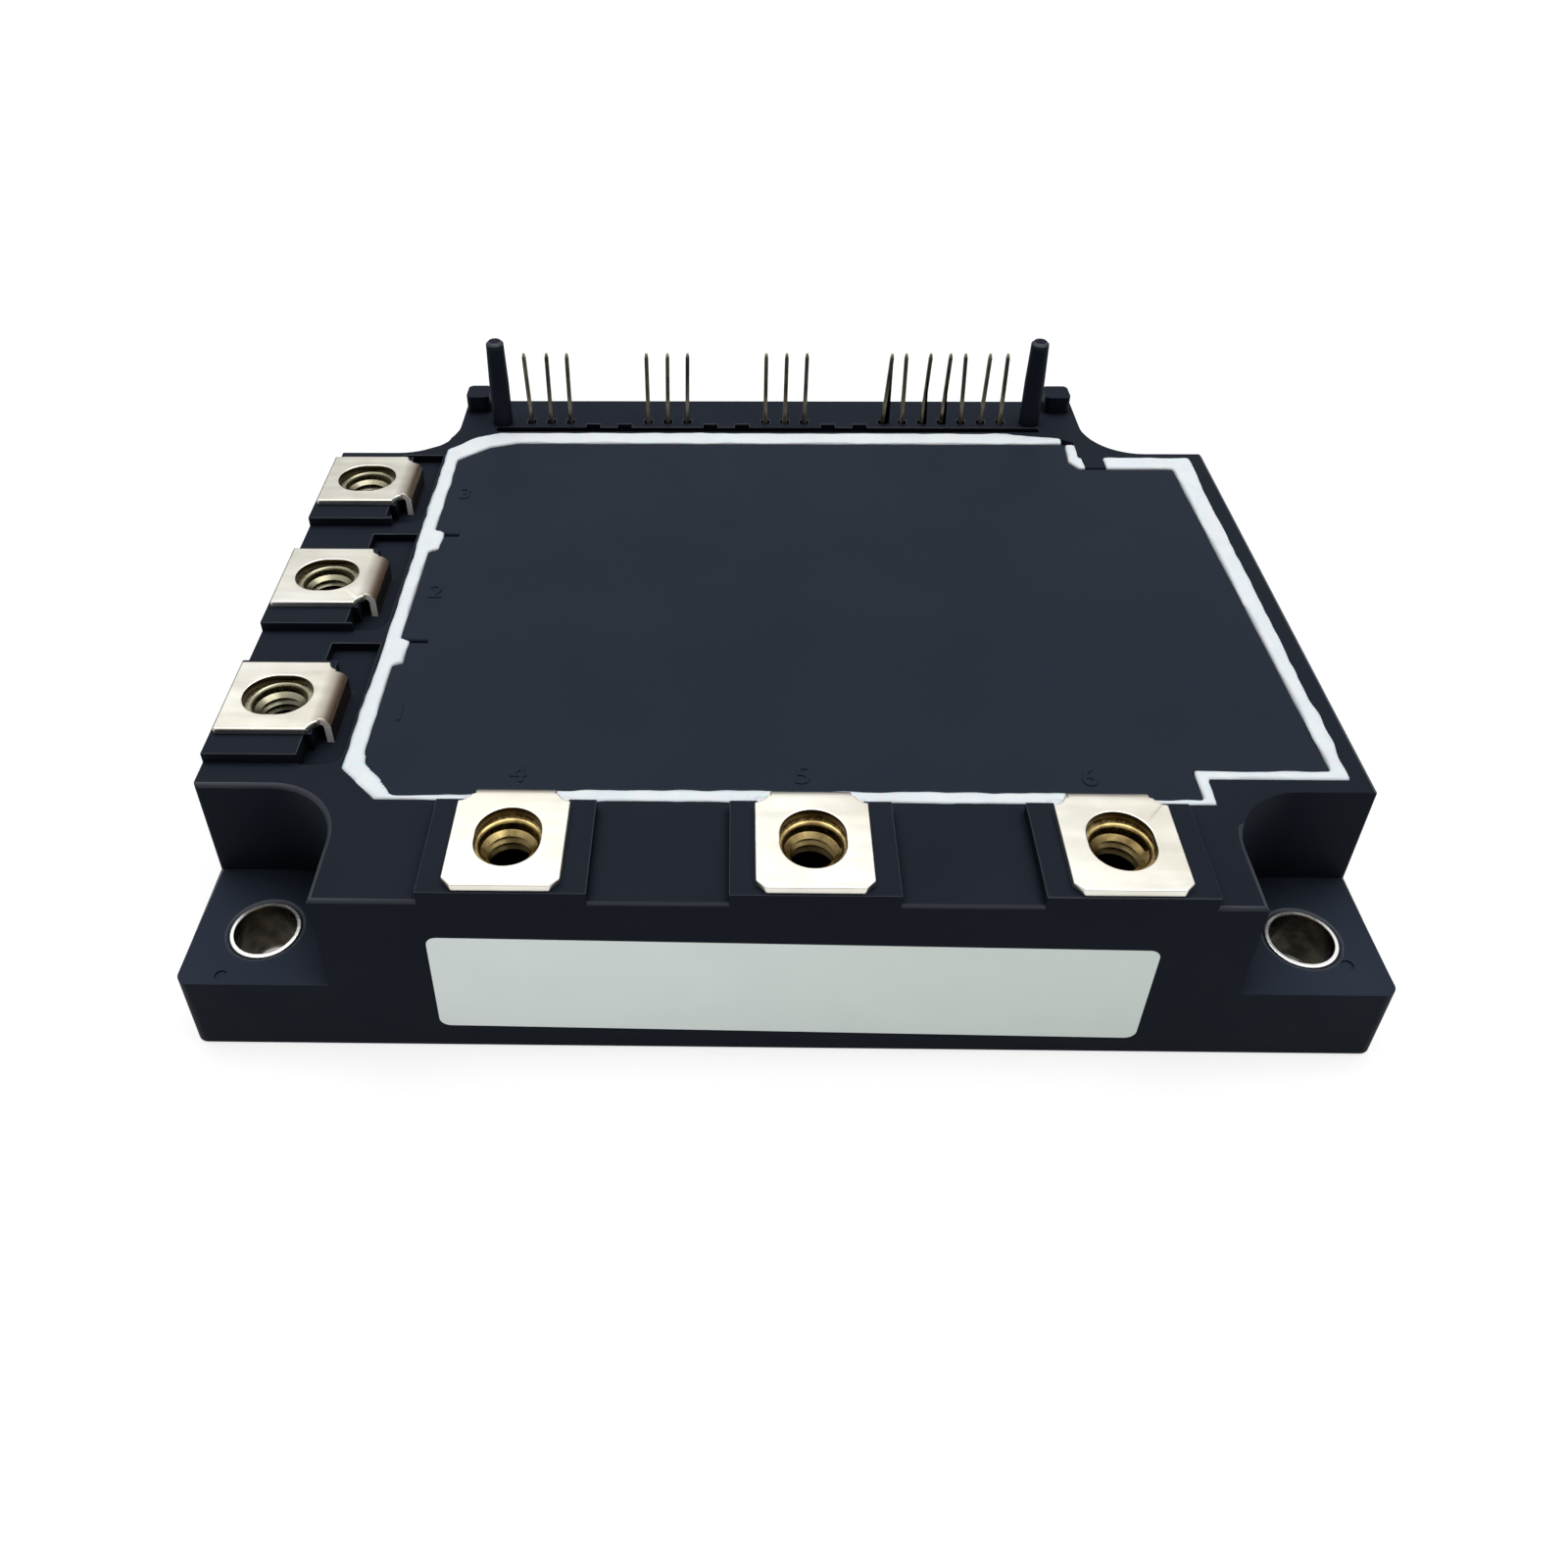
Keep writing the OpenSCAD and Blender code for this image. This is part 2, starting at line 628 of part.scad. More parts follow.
// Etched islands of one cell: collector island, output island, emitter strip, signal pads
module cell_islands(x) {
    w = cell_w - 1.2;
    z = [copper_z, die_z];
    box([x - w / 2, upper_y - island_d / 2, z[0]], [x + w / 2, upper_y + island_d / 2, z[1]]);
    box([x - w / 2, lower_y - island_d / 2, z[0]], [x + w / 2, lower_y + island_d / 2, z[1]]);
    strip_back = lower_y - island_d / 2 - strip_gap;
    box([x - w / 2, strip_back - strip_d, z[0]], [x + w / 2, strip_back, z[1]]);
    for (p = lead_x) translate([x + p, pad_y, z[0]])
        linear_extrude(copper_t) square(2 * pad_half, center = true);
}

module circuit_copper(t) {
    edge = cell_x[0] - cell_w / 2 + 0.6;
    color([0.82, 0.5, 0.33]) {
        for (c = [0, 1]) cell_islands(cell_x[2 * t + c]);
        if (t == 0) box([edge, upper_y, copper_z], [edge + tab_x, pad_y + pad_half[1], die_z]);
    }
}

// Middles of the islands that carry an IGBT or a diode
function island_mid(cell, upper) = [cell_x[cell], upper == 1 ? upper_y : lower_y];
igbt_islands = [for (c = [0:3]) for (u = [0, 1]) if (c != brake_cell || u == 0) island_mid(c, u)];
diode_islands = [for (c = [0:3]) for (u = [0, 1]) if (c != brake_cell || u == 1) island_mid(c, u)];

module dies(list, off, side) {
    for (p = list) translate([p[0] + off[0], p[1] + off[1], die_z])
        linear_extrude(die_t) square(side, center = true);
}

module igbt_chips() {
    color([0.55, 0.57, 0.6]) dies(igbt_islands, igbt_off, igbt_side);
}

module diode_chips() {
    color([0.66, 0.67, 0.68]) dies(diode_islands, diode_off, diode_side);
}

// One bond wire: half ring along local -Y from [x, y, z], its far end lower by drop
module bond_wire(x, y, z, turn, span, drop) {
    translate([x, y, z]) rotate([0, 0, turn]) {
        translate([0, -span / 2, 0]) rotate([90, 0, 90])
            rotate_extrude(angle = 180, $fn = 24) translate([span / 2, 0]) circle(d = wire_d, $fn = 14);
        translate([0, -span, -drop]) cylinder(h = drop, d = wire_d, $fn = 14);
    }
}

// Wires from the dies of a list to the next island
module die_wires(list, off, start, wires) {
    for (p = list) for (s = wires)
        bond_wire(p[0] + off[0] + s, p[1] + off[1] - start, wire_z, 0, wire_land + off[1] - start, die_t);
}

module bond_wires() {
    foot_top = foot_z + strip_t;
    color([0.85, 0.86, 0.87]) {
        die_wires(igbt_islands, igbt_off, 2.6, igbt_wire_x);
        die_wires(diode_islands, diode_off, 1, diode_wire_x);
        for (x = front_x) for (s = front_wire_x)
            bond_wire(x + s, front_edge + front_foot - 1, foot_top, 180, 3.95, foot_top - die_z);
        for (row = left_wire_y) for (y = row)
            bond_wire(left_edge + left_foot - 1, y, foot_top, 90, 3.2, foot_top - die_z);
    }
}

// Posts between the signal pads and the control board
module gate_leads() {
    color([0.8, 0.78, 0.7]) for (x = cell_x) for (p = lead_x)
        translate([x + p, pad_y, die_z]) cylinder(h = lead_z - die_z, r = lead_r, $fn = 24);
}

module thermistor() {
    color([0.2, 0.2, 0.22]) translate([cell_x[3] + 4, lower_y, die_z]) cube([3.2, 1.6, 1]);
}

// ---------- control board ----------

// Board outline: wide inside the cavity, narrower where it meets the pin tails
module control_board() {
    color([0.1, 0.35, 0.22]) difference() {
        union() {
            box([board_x[0], board_y[0], board_z], [board_x[1], board_y[1], tail_z]);
            box([board_x[0], board_y[1] - cut, board_z], [board_back[0], board_back[1], tail_z]);
        }
        for (x = cell_x) for (p = lead_x)
            translate([x + p, pad_y, board_z - cut]) cylinder(h = board_t + 2 * cut, r = lead_r, $fn = 24);
    }
}

// Moulded driver circuit with a row of gull-wing leads on both long sides
module driver_ic() {
    translate([-5, -3.75, 0.15]) cube([10, 7.5, 2.2]);
    for (s = [-1, 1]) for (k = [-3:3])
        translate([k * 1.27 - 0.2, s * 4.5 - 0.75, 0]) cube([0.4, 1.5, 0.9]);
}

module driver_ics() {
    color([0.12, 0.12, 0.13]) for (x = cell_x) translate([x, 5.5, tail_z]) driver_ic();
}

module board_capacitors() {
    color([0.72, 0.6, 0.42]) for (x = cell_x) for (k = [-1, 1])
        translate([x + k * 4 - 1.6, 12.4, tail_z]) cube([3.2, 1.6, 1.4]);
}

module board_resistors() {
    color([0.15, 0.15, 0.17]) for (x = cell_x) for (k = [-2:2])
        translate([x + k * 3 - 1, -3.4, tail_z]) cube([2, 1.25, 0.55]);
}

// Soft potting that covers the power circuit, clear of the wires
module silicone_gel() {
    color([0.85, 0.88, 0.86, 0.6]) difference() {
        union() {
            box([cav_l, cav_f, base_t], [cav_step, cav_b, gel_top]);
            box([cav_step - cut, cav_side_f, base_t], [cav_r, cav_side_b, gel_top]);
        }
        for (x = tile_x)
            box([x - tile_w / 2, tile_y[0], base_t - cut], [x + tile_w / 2, tile_y[1], wire_z + loop_clear]);
        inner_ledges();
        for (i = [0:5]) at_terminal(i)
            box([-ledge_half, leg_far(i), base_t - cut], [ledge_half, foot_end(i) + 4, gel_top + cut]);
        gate_leads();
    }
}

// ---------- assembly ----------

case();
lid();
lid_adhesive();
label();
base_plate();
for (c = CORNERS) collar(c);
for (i = [0:5]) terminal(i);
for (i = [0:5]) nut(i);
for (i = [0:15]) control_pin(i);
ceramic(0);  // ceramic_left
ceramic(1);  // ceramic_right
circuit_copper(0);  // circuit_copper_left
circuit_copper(1);  // circuit_copper_right
backing_copper(0);  // backing_copper_left
backing_copper(1);  // backing_copper_right
igbt_chips();
diode_chips();
bond_wires();
gate_leads();
thermistor();
control_board();
driver_ics();
board_capacitors();
board_resistors();
silicone_gel();
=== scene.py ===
"""Power module with screw terminals: finishes, rounded edges, silicone bead, threads and studio."""
import json
import logging
import math
from collections.abc import Callable, Iterable, Sequence
from dataclasses import dataclass, field
from enum import Enum
from functools import cache

import bmesh
import bpy
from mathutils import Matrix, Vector, noise


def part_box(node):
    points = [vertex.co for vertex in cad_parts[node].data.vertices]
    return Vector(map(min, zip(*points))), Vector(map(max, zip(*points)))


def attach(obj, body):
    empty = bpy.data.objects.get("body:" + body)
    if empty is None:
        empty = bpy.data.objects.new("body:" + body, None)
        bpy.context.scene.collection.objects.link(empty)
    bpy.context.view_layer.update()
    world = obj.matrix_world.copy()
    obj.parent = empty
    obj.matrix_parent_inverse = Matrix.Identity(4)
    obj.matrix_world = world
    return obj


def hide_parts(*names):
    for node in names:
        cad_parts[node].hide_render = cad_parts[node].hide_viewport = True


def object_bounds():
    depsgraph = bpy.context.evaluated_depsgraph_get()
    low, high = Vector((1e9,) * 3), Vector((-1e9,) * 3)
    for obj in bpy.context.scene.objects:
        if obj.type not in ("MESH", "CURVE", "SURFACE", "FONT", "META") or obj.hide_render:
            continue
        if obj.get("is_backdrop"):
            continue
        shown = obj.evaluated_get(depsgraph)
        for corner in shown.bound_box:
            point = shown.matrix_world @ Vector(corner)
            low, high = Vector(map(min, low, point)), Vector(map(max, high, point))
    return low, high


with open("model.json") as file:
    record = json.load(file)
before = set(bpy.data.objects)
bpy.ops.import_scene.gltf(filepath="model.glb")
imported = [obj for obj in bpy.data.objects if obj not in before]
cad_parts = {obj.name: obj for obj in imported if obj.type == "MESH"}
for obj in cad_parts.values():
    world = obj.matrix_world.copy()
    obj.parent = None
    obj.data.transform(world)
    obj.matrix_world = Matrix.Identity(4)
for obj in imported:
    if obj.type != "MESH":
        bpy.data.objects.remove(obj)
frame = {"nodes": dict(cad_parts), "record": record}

CAD_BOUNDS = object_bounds()
ROOT = "root"
MM = 0.001
MERGE = 2e-6
FLAT_ANGLE = math.radians(0.8)
NOISE_MIDDLE = (0.3, 0.7)
TONE_SPREAD = (0.35, 0.65)

Triple = tuple[float, float, float]
Colour = Triple
Object = bpy.types.Object
Material = bpy.types.Material
Socket = bpy.types.NodeSocket

log = logging.getLogger("power_module")


# ---------------- finishes


class Pattern(Enum):
    """What the fine relief of a surface looks like."""

    GRAIN = "grain"
    BRUSHED = "brushed"
    CELLS = "cells"


class Nodes:
    """Nodes of one tree, with short ways to calculate in it."""

    def __init__(self, tree: bpy.types.NodeTree) -> None:
        """Takes up the tree."""
        self.tree = tree

    def add(self, kind: str, **sockets: object) -> bpy.types.Node:
        """Adds a node.

        Args:
            kind: Blender's name of the node type.
            **sockets: Input names, with underscores for spaces, and a number, colour or output.

        Returns:
            The new node.
        """
        node = self.tree.nodes.new(kind)
        for key, value in sockets.items():
            self.feed(node.inputs[key.replace("_", " ")], value)
        return node

    def feed(self, socket: Socket, value: object) -> None:
        """Links an output to an input, or sets the input to a fixed value.

        Args:
            socket: The input.
            value: An output, a number or a colour with its opacity.
        """
        if isinstance(value, Socket):
            self.tree.links.new(value, socket)
        else:
            socket.default_value = value

    def split(self, vector: Socket) -> bpy.types.bpy_prop_collection:
        """X, Y and Z of a vector, as outputs."""
        return self.add("ShaderNodeSeparateXYZ", Vector=vector).outputs

    def remap(self, value: Socket, low: float, high: float, low_to: float, high_to: float) -> Socket:
        """Maps a value between two numbers to a range, and keeps it within that range.

        Args:
            value: Output to map.
            low: Value with the first result.
            high: Value with the second result.
            low_to: First result.
            high_to: Second result.

        Returns:
            The mapped value.
        """
        return self.add("ShaderNodeMapRange", Value=value, From_Min=low, From_Max=high,
                        To_Min=low_to, To_Max=high_to).outputs["Result"]

    def fade(self, value: Socket, start: float, end: float) -> Socket:
        """Rises from 0 to 1 between two values, and stays there outside them."""
        return self.remap(value, start, end, 0.0, 1.0)

    def calc(self, operation: str, *operands: Socket | float) -> Socket:
        """Calculates with numbers.

        Args:
            operation: Operation of Blender's Math node.
            *operands: Outputs or numbers.

        Returns:
            The result.
        """
        node = self.add("ShaderNodeMath")
        node.operation = operation
        for socket, operand in zip(node.inputs, operands):
            self.feed(socket, operand)
        return node.outputs[0]


class Graph(Nodes):
    """Nodes of one material, wired to its Principled shader."""

    def __init__(self, name: str) -> None:
        """Starts a material.

        Args:
            name: Name of the material.
        """
        self.material = bpy.data.materials.new(name)
        self.material.use_nodes = True
        super().__init__(self.material.node_tree)
        self.shader = next(n for n in self.tree.nodes if n.type == "BSDF_PRINCIPLED")
        self.coords = self.add("ShaderNodeTexCoord").outputs["Object"]

    def noise(self, scale: float, detail: float = 3.0, stretch: Sequence[float] = (1, 1, 1)) -> Socket:
        """Adds a noise field on Object coordinates.

        Args:
            scale: Features per metre.
            detail: Octaves of the noise.
            stretch: Scale along X, Y and Z, for brushed lines.

        Returns:
            The noise value.
        """
        mapping = self.add("ShaderNodeMapping", Vector=self.coords, Scale=tuple(stretch))
        field_node = self.add("ShaderNodeTexNoise", Vector=mapping.outputs[0], Scale=scale, Detail=detail)
        return field_node.outputs["Fac"]

    def ramp(self, value: Socket, low: float, high: float, dark: Colour, light: Colour) -> Socket:
        """Blends two colours by a value.

        Args:
            value: Output that drives the blend.
            low: Value with the dark colour.
            high: Value with the light colour.
            dark: Colour at low.
            light: Colour at high.

        Returns:
            The colour output.
        """
        ramp = self.add("ShaderNodeValToRGB", Fac=value)
        ends = ramp.color_ramp.elements
        ends[0].position, ends[1].position = low, high
        ends[0].color, ends[1].color = (*dark, 1), (*light, 1)
        return ramp.outputs["Color"]

    def blend(self, first: Socket | Colour, second: Socket | Colour, share: Socket | float,
              mode: str = "MIX") -> Socket:
        """Blends two colours.

        Args:
            first: Colour at a share of 0.
            second: Colour at a share of 1.
            share: Share of the second colour.
            mode: Blend mode of Blender's Mix node.

        Returns:
            The colour output.
        """
        node = self.add("ShaderNodeMix")
        node.data_type, node.blend_type = "RGBA", mode
        sockets = (node.inputs[0], node.inputs[6], node.inputs[7])
        for socket, value in zip(sockets, (share, first, second)):
            self.feed(socket, (*value, 1) if isinstance(value, tuple) else value)
        return node.outputs[2]

    def relief(self, height: Socket, depth: float) -> None:
        """Adds fine relief to the shader.

        Args:
            height: Output that holds the height.
            depth: Full depth in metres.
        """
        bump = self.add("ShaderNodeBump", Height=height, Distance=depth, Strength=1.0)
        self.wire("Normal", bump.outputs["Normal"])

    def wire(self, name: str, value: Socket) -> None:
        """Links an output to an input of the shader."""
        self.tree.links.new(value, self.shader.inputs[name])

    def put(self, **values: object) -> None:
        """Sets inputs of the shader to fixed values."""
        for key, value in values.items():
            self.shader.inputs[key.replace("_", " ")].default_value = value


@dataclass(frozen=True)
class Finish:
    """A surface with two close tones, fine relief and uneven gloss.

    Attributes:
        slot: Material slot of the record.
        dark: Darker tone.
        light: Lighter tone.
        rough: Lowest and highest roughness.
        pattern: Form of the fine relief.
        tone_scale: Features per metre of the tones.
        grain_scale: Features per metre of the relief.
        grain_depth: Depth of the relief in metres.
        metallic: 1 for bare metal.
        specular: Specular level of the shader.
        brush: Scale of brushed lines along X, Y and Z.
        soft: Subsurface weight.
        seep: Subsurface distance in metres.
        alpha: Opacity.
    """

    slot: str
    dark: Colour
    light: Colour
    rough: tuple[float, float] = (0.4, 0.5)
    pattern: Pattern = Pattern.GRAIN
    tone_scale: float = 90.0
    grain_scale: float = 3000.0
    grain_depth: float = 8e-6
    metallic: float = 0.0
    specular: float = 0.5
    brush: tuple[float, float, float] = (1.0, 1.0, 1.0)
    soft: float = 0.0
    seep: float = 0.0005
    alpha: float = 1.0

    def tone(self, graph: Graph) -> Socket:
        """Colour of the surface: two tones blended by slow noise."""
        return graph.ramp(graph.noise(self.tone_scale, 4), *TONE_SPREAD, self.dark, self.light)

    def height(self, graph: Graph) -> Socket:
        """Height of the fine relief, by its pattern.

        Args:
            graph: Nodes of the material.

        Returns:
            The height.
        """
        if self.pattern is Pattern.CELLS:
            cells = graph.add("ShaderNodeTexVoronoi", Vector=graph.coords, Scale=self.grain_scale)
            return cells.outputs["Distance"]
        detail = 2 if self.pattern is Pattern.BRUSHED else 4
        return graph.noise(self.grain_scale, detail, self.brush)

    def build(self) -> Material:
        """Builds the material.

        Returns:
            The finished material, named after its slot.
        """
        graph = Graph(self.slot)
        graph.wire("Base Color", self.tone(graph))
        gloss = graph.noise(self.tone_scale * 4, 3, self.brush)
        graph.wire("Roughness", graph.remap(gloss, *NOISE_MIDDLE, *self.rough))
        graph.relief(self.height(graph), self.grain_depth)
        graph.put(Metallic=self.metallic, Specular_IOR_Level=self.specular)
        if self.soft:
            graph.put(Subsurface_Weight=self.soft, Subsurface_Scale=self.seep)
        if self.alpha < 1:
            graph.put(Alpha=self.alpha)
        return graph.material


@dataclass(frozen=True)
class FoilFinish(Finish):
    """Silver foil with a slow change of tone along its length.

    Attributes:
        length: Length of the foil.
        clouds: Share of the length by which the tones are shifted.
        run: Shares of the length where the tone starts and stops to change.
    """

    length: float = 0.063
    clouds: float = 0.35
    run: tuple[float, float] = (0.2, 1.0)

    def tone(self, graph: Graph) -> Socket:
        """Colour that runs from a cool to a greener grey along X, with faint clouds.

        Args:
            graph: Nodes of the material.

        Returns:
            The colour.
        """
        cloud = graph.calc("MULTIPLY", graph.noise(self.tone_scale, 3), self.length * self.clouds)
        place = graph.calc("ADD", graph.split(graph.coords)["X"], cloud)
        share = graph.fade(place, -self.length / 2, self.length / 2)
        return graph.ramp(share, *self.run, self.light, self.dark)


@dataclass(frozen=True)
class BoardFinish(Finish):
    """Circuit board: solder resist over a grid of tracks that stand out faintly.

    Attributes:
        track: Colour over a track.
        grid: Scale of the grid.
        width: Width of a track in the grid.
    """

    track: Colour = (0.05, 0.2, 0.1)
    grid: float = 110.0
    width: float = 0.025

    def tone(self, graph: Graph) -> Socket:
        """Green resist, lighter where a track runs below it.

        Args:
            graph: Nodes of the material.

        Returns:
            The colour.
        """
        tracks = graph.add("ShaderNodeTexBrick", Vector=graph.coords, Scale=self.grid, Mortar_Size=self.width)
        for name, colour in (("Color1", self.dark), ("Color2", self.dark), ("Mortar", self.track)):
            tracks.inputs[name].default_value = (*colour, 1)
        return tracks.outputs["Color"]


@dataclass(frozen=True)
class CaseFinish(Finish):
    """Matt moulding with rounded edges polished by handling, painted light on its pads and painted shade in
    recesses.

    Attributes:
        polish: Added specular level on the rounded edges.
        pad_z: Height below which a level face belongs to a corner pad.
        pad: Factor of painted light on the colour of the corner pads.
        recess: Factor of painted shade deep in a recess.
        reach: Distance in metres within which walls shelter a place.
        flat: Upward part of the direction from which a face counts as level.
        open: Shares of open sky from the deepest recess to none.
        rise: Upward parts between which the polish sets in.
        end: Upward parts between which it ends again.
    """

    polish: float = 0.42
    pad_z: float = 0.0087
    pad: float = 1.75
    recess: float = 0.30
    reach: float = 0.012
    flat: float = 0.9
    open: tuple[float, float] = (0.35, 0.8)
    rise: tuple[float, float] = (0.12, 0.40)
    end: tuple[float, float] = (0.99, 0.95)

    def shelter(self, graph: Graph, level: Socket) -> Socket:
        """Painted light and shade as a factor on the colour: above 1 on the pads, below 1 in sheltered
        recesses.

        Args:
            graph: Nodes of the material.
            level: Upward part of the surface's direction.

        Returns:
            The factor.
        """
        # Level faces low on the corner pads get painted light.
        below = graph.calc("LESS_THAN", graph.split(graph.coords)["Z"], self.pad_z)
        low = graph.calc("MULTIPLY", below, graph.calc("GREATER_THAN", level, self.flat))
        # Painted shade: darker where the case's own walls close in, found by ambient occlusion.
        opening = graph.add("ShaderNodeAmbientOcclusion", Distance=self.reach)
        opening.only_local = True
        recess_painted_shade = graph.remap(opening.outputs["AO"], *self.open, self.recess, 1.0)
        pads = graph.calc("MULTIPLY_ADD", low, self.pad - 1, 1.0)
        return graph.calc("MULTIPLY", recess_painted_shade, pads)

    def tone(self, graph: Graph) -> Socket:
        """Two tones, with more gloss on rounded edges, painted light on the pads and painted shade in
        recesses.

        Args:
            graph: Nodes of the material.

        Returns:
            The colour.
        """
        level = graph.split(graph.add("ShaderNodeNewGeometry").outputs["True Normal"])["Z"]
        turned = graph.calc("MULTIPLY", graph.fade(level, *self.rise), graph.fade(level, *self.end))
        gloss = graph.calc("MULTIPLY_ADD", turned, self.polish, self.specular)
        graph.wire("Specular IOR Level", gloss)
        scaled = graph.add("ShaderNodeVectorMath")
        scaled.operation = "SCALE"
        graph.feed(scaled.inputs[0], super().tone(graph))
        graph.feed(scaled.inputs[3], self.shelter(graph, level))
        return scaled.outputs[0]


@dataclass(frozen=True)
class BoreFinish(Finish):
    """Metal that gets darker down a threaded bore.

    Attributes:
        mouth: Height with the full tone.
        depth: Height with the darkest painted shade.
        least: Share of the tone that the painted shade leaves there.
        nickel: Tone of the left nuts.
        nickel_side: Largest X of the left nuts.
        nickel_share: Share of that tone in them.
    """

    mouth: float = 0.0202
    depth: float = 0.0182
    least: float = 0.10
    nickel: Colour = (0.33, 0.33, 0.25)
    nickel_side: float = -0.040
    nickel_share: float = 0.75

    def tone(self, graph: Graph) -> Socket:
        """Two tones, greyer on the left nuts, with painted shade from the mouth of the bore to its depth.

        Args:
            graph: Nodes of the material.

        Returns:
            The colour.
        """
        parts = graph.split(graph.coords)
        left = graph.calc("LESS_THAN", parts["X"], self.nickel_side)
        left = graph.calc("MULTIPLY", left, self.nickel_share)
        tone = graph.blend(super().tone(graph), self.nickel, left)
        # Painted shade: the colour darkens from the mouth of the bore down to its depth.
        share = graph.fade(parts["Z"], self.depth, self.mouth)
        painted_bore_shade = graph.ramp(share, 0.0, 1.0, (self.least,) * 3, (1.0, 1.0, 1.0))
        return graph.blend(painted_bore_shade, tone, 1.0, "MULTIPLY")


@dataclass(frozen=True)
class CollarFinish(Finish):
    """Bright ring with painted shade over tarnished metal in the bore, for the four mounting corners.

    Attributes:
        corner: Distance of the collars' middle from the origin, along X and Y.
        bore: Radius inside which the painted shade and the tarnished metal lie.
        blur: Width of its edge, inwards and outwards.
        tarnish: Darkest and lightest tone inside the bore, painted shade over tarnished metal.
        patches: Features per metre of the mottling in the bore.
    """

    corner: tuple[float, float] = (0.0475, 0.03725)
    bore: float = 0.00287
    blur: tuple[float, float] = (0.00002, 0.00006)
    tarnish: tuple[Colour, Colour] = ((0.012, 0.010, 0.007), (0.048, 0.040, 0.028))
    patches: float = 700.0

    def tone(self, graph: Graph) -> Socket:
        """Two tones on the ring, and painted shade over tarnished metal inside the bore.

        Args:
            graph: Nodes of the material.

        Returns:
            The colour.
        """
        parts = graph.split(graph.coords)
        offsets = []
        for axis, place in zip("XY", self.corner):
            size = graph.calc("ABSOLUTE", parts[axis])
            offset = graph.calc("SUBTRACT", size, place)
            offsets.append(graph.calc("MULTIPLY", offset, offset))
        radius = graph.calc("SQRT", graph.calc("ADD", *offsets))
        ring = graph.fade(radius, self.bore - self.blur[0], self.bore + self.blur[1])
        # Painted shade over tarnished metal: a dark, mottled tone inside the bore.
        bore_shade_and_tarnish_tone = graph.ramp(graph.noise(self.patches, 4), 0.35, 0.7, *self.tarnish)
        return graph.blend(bore_shade_and_tarnish_tone, super().tone(graph), ring)


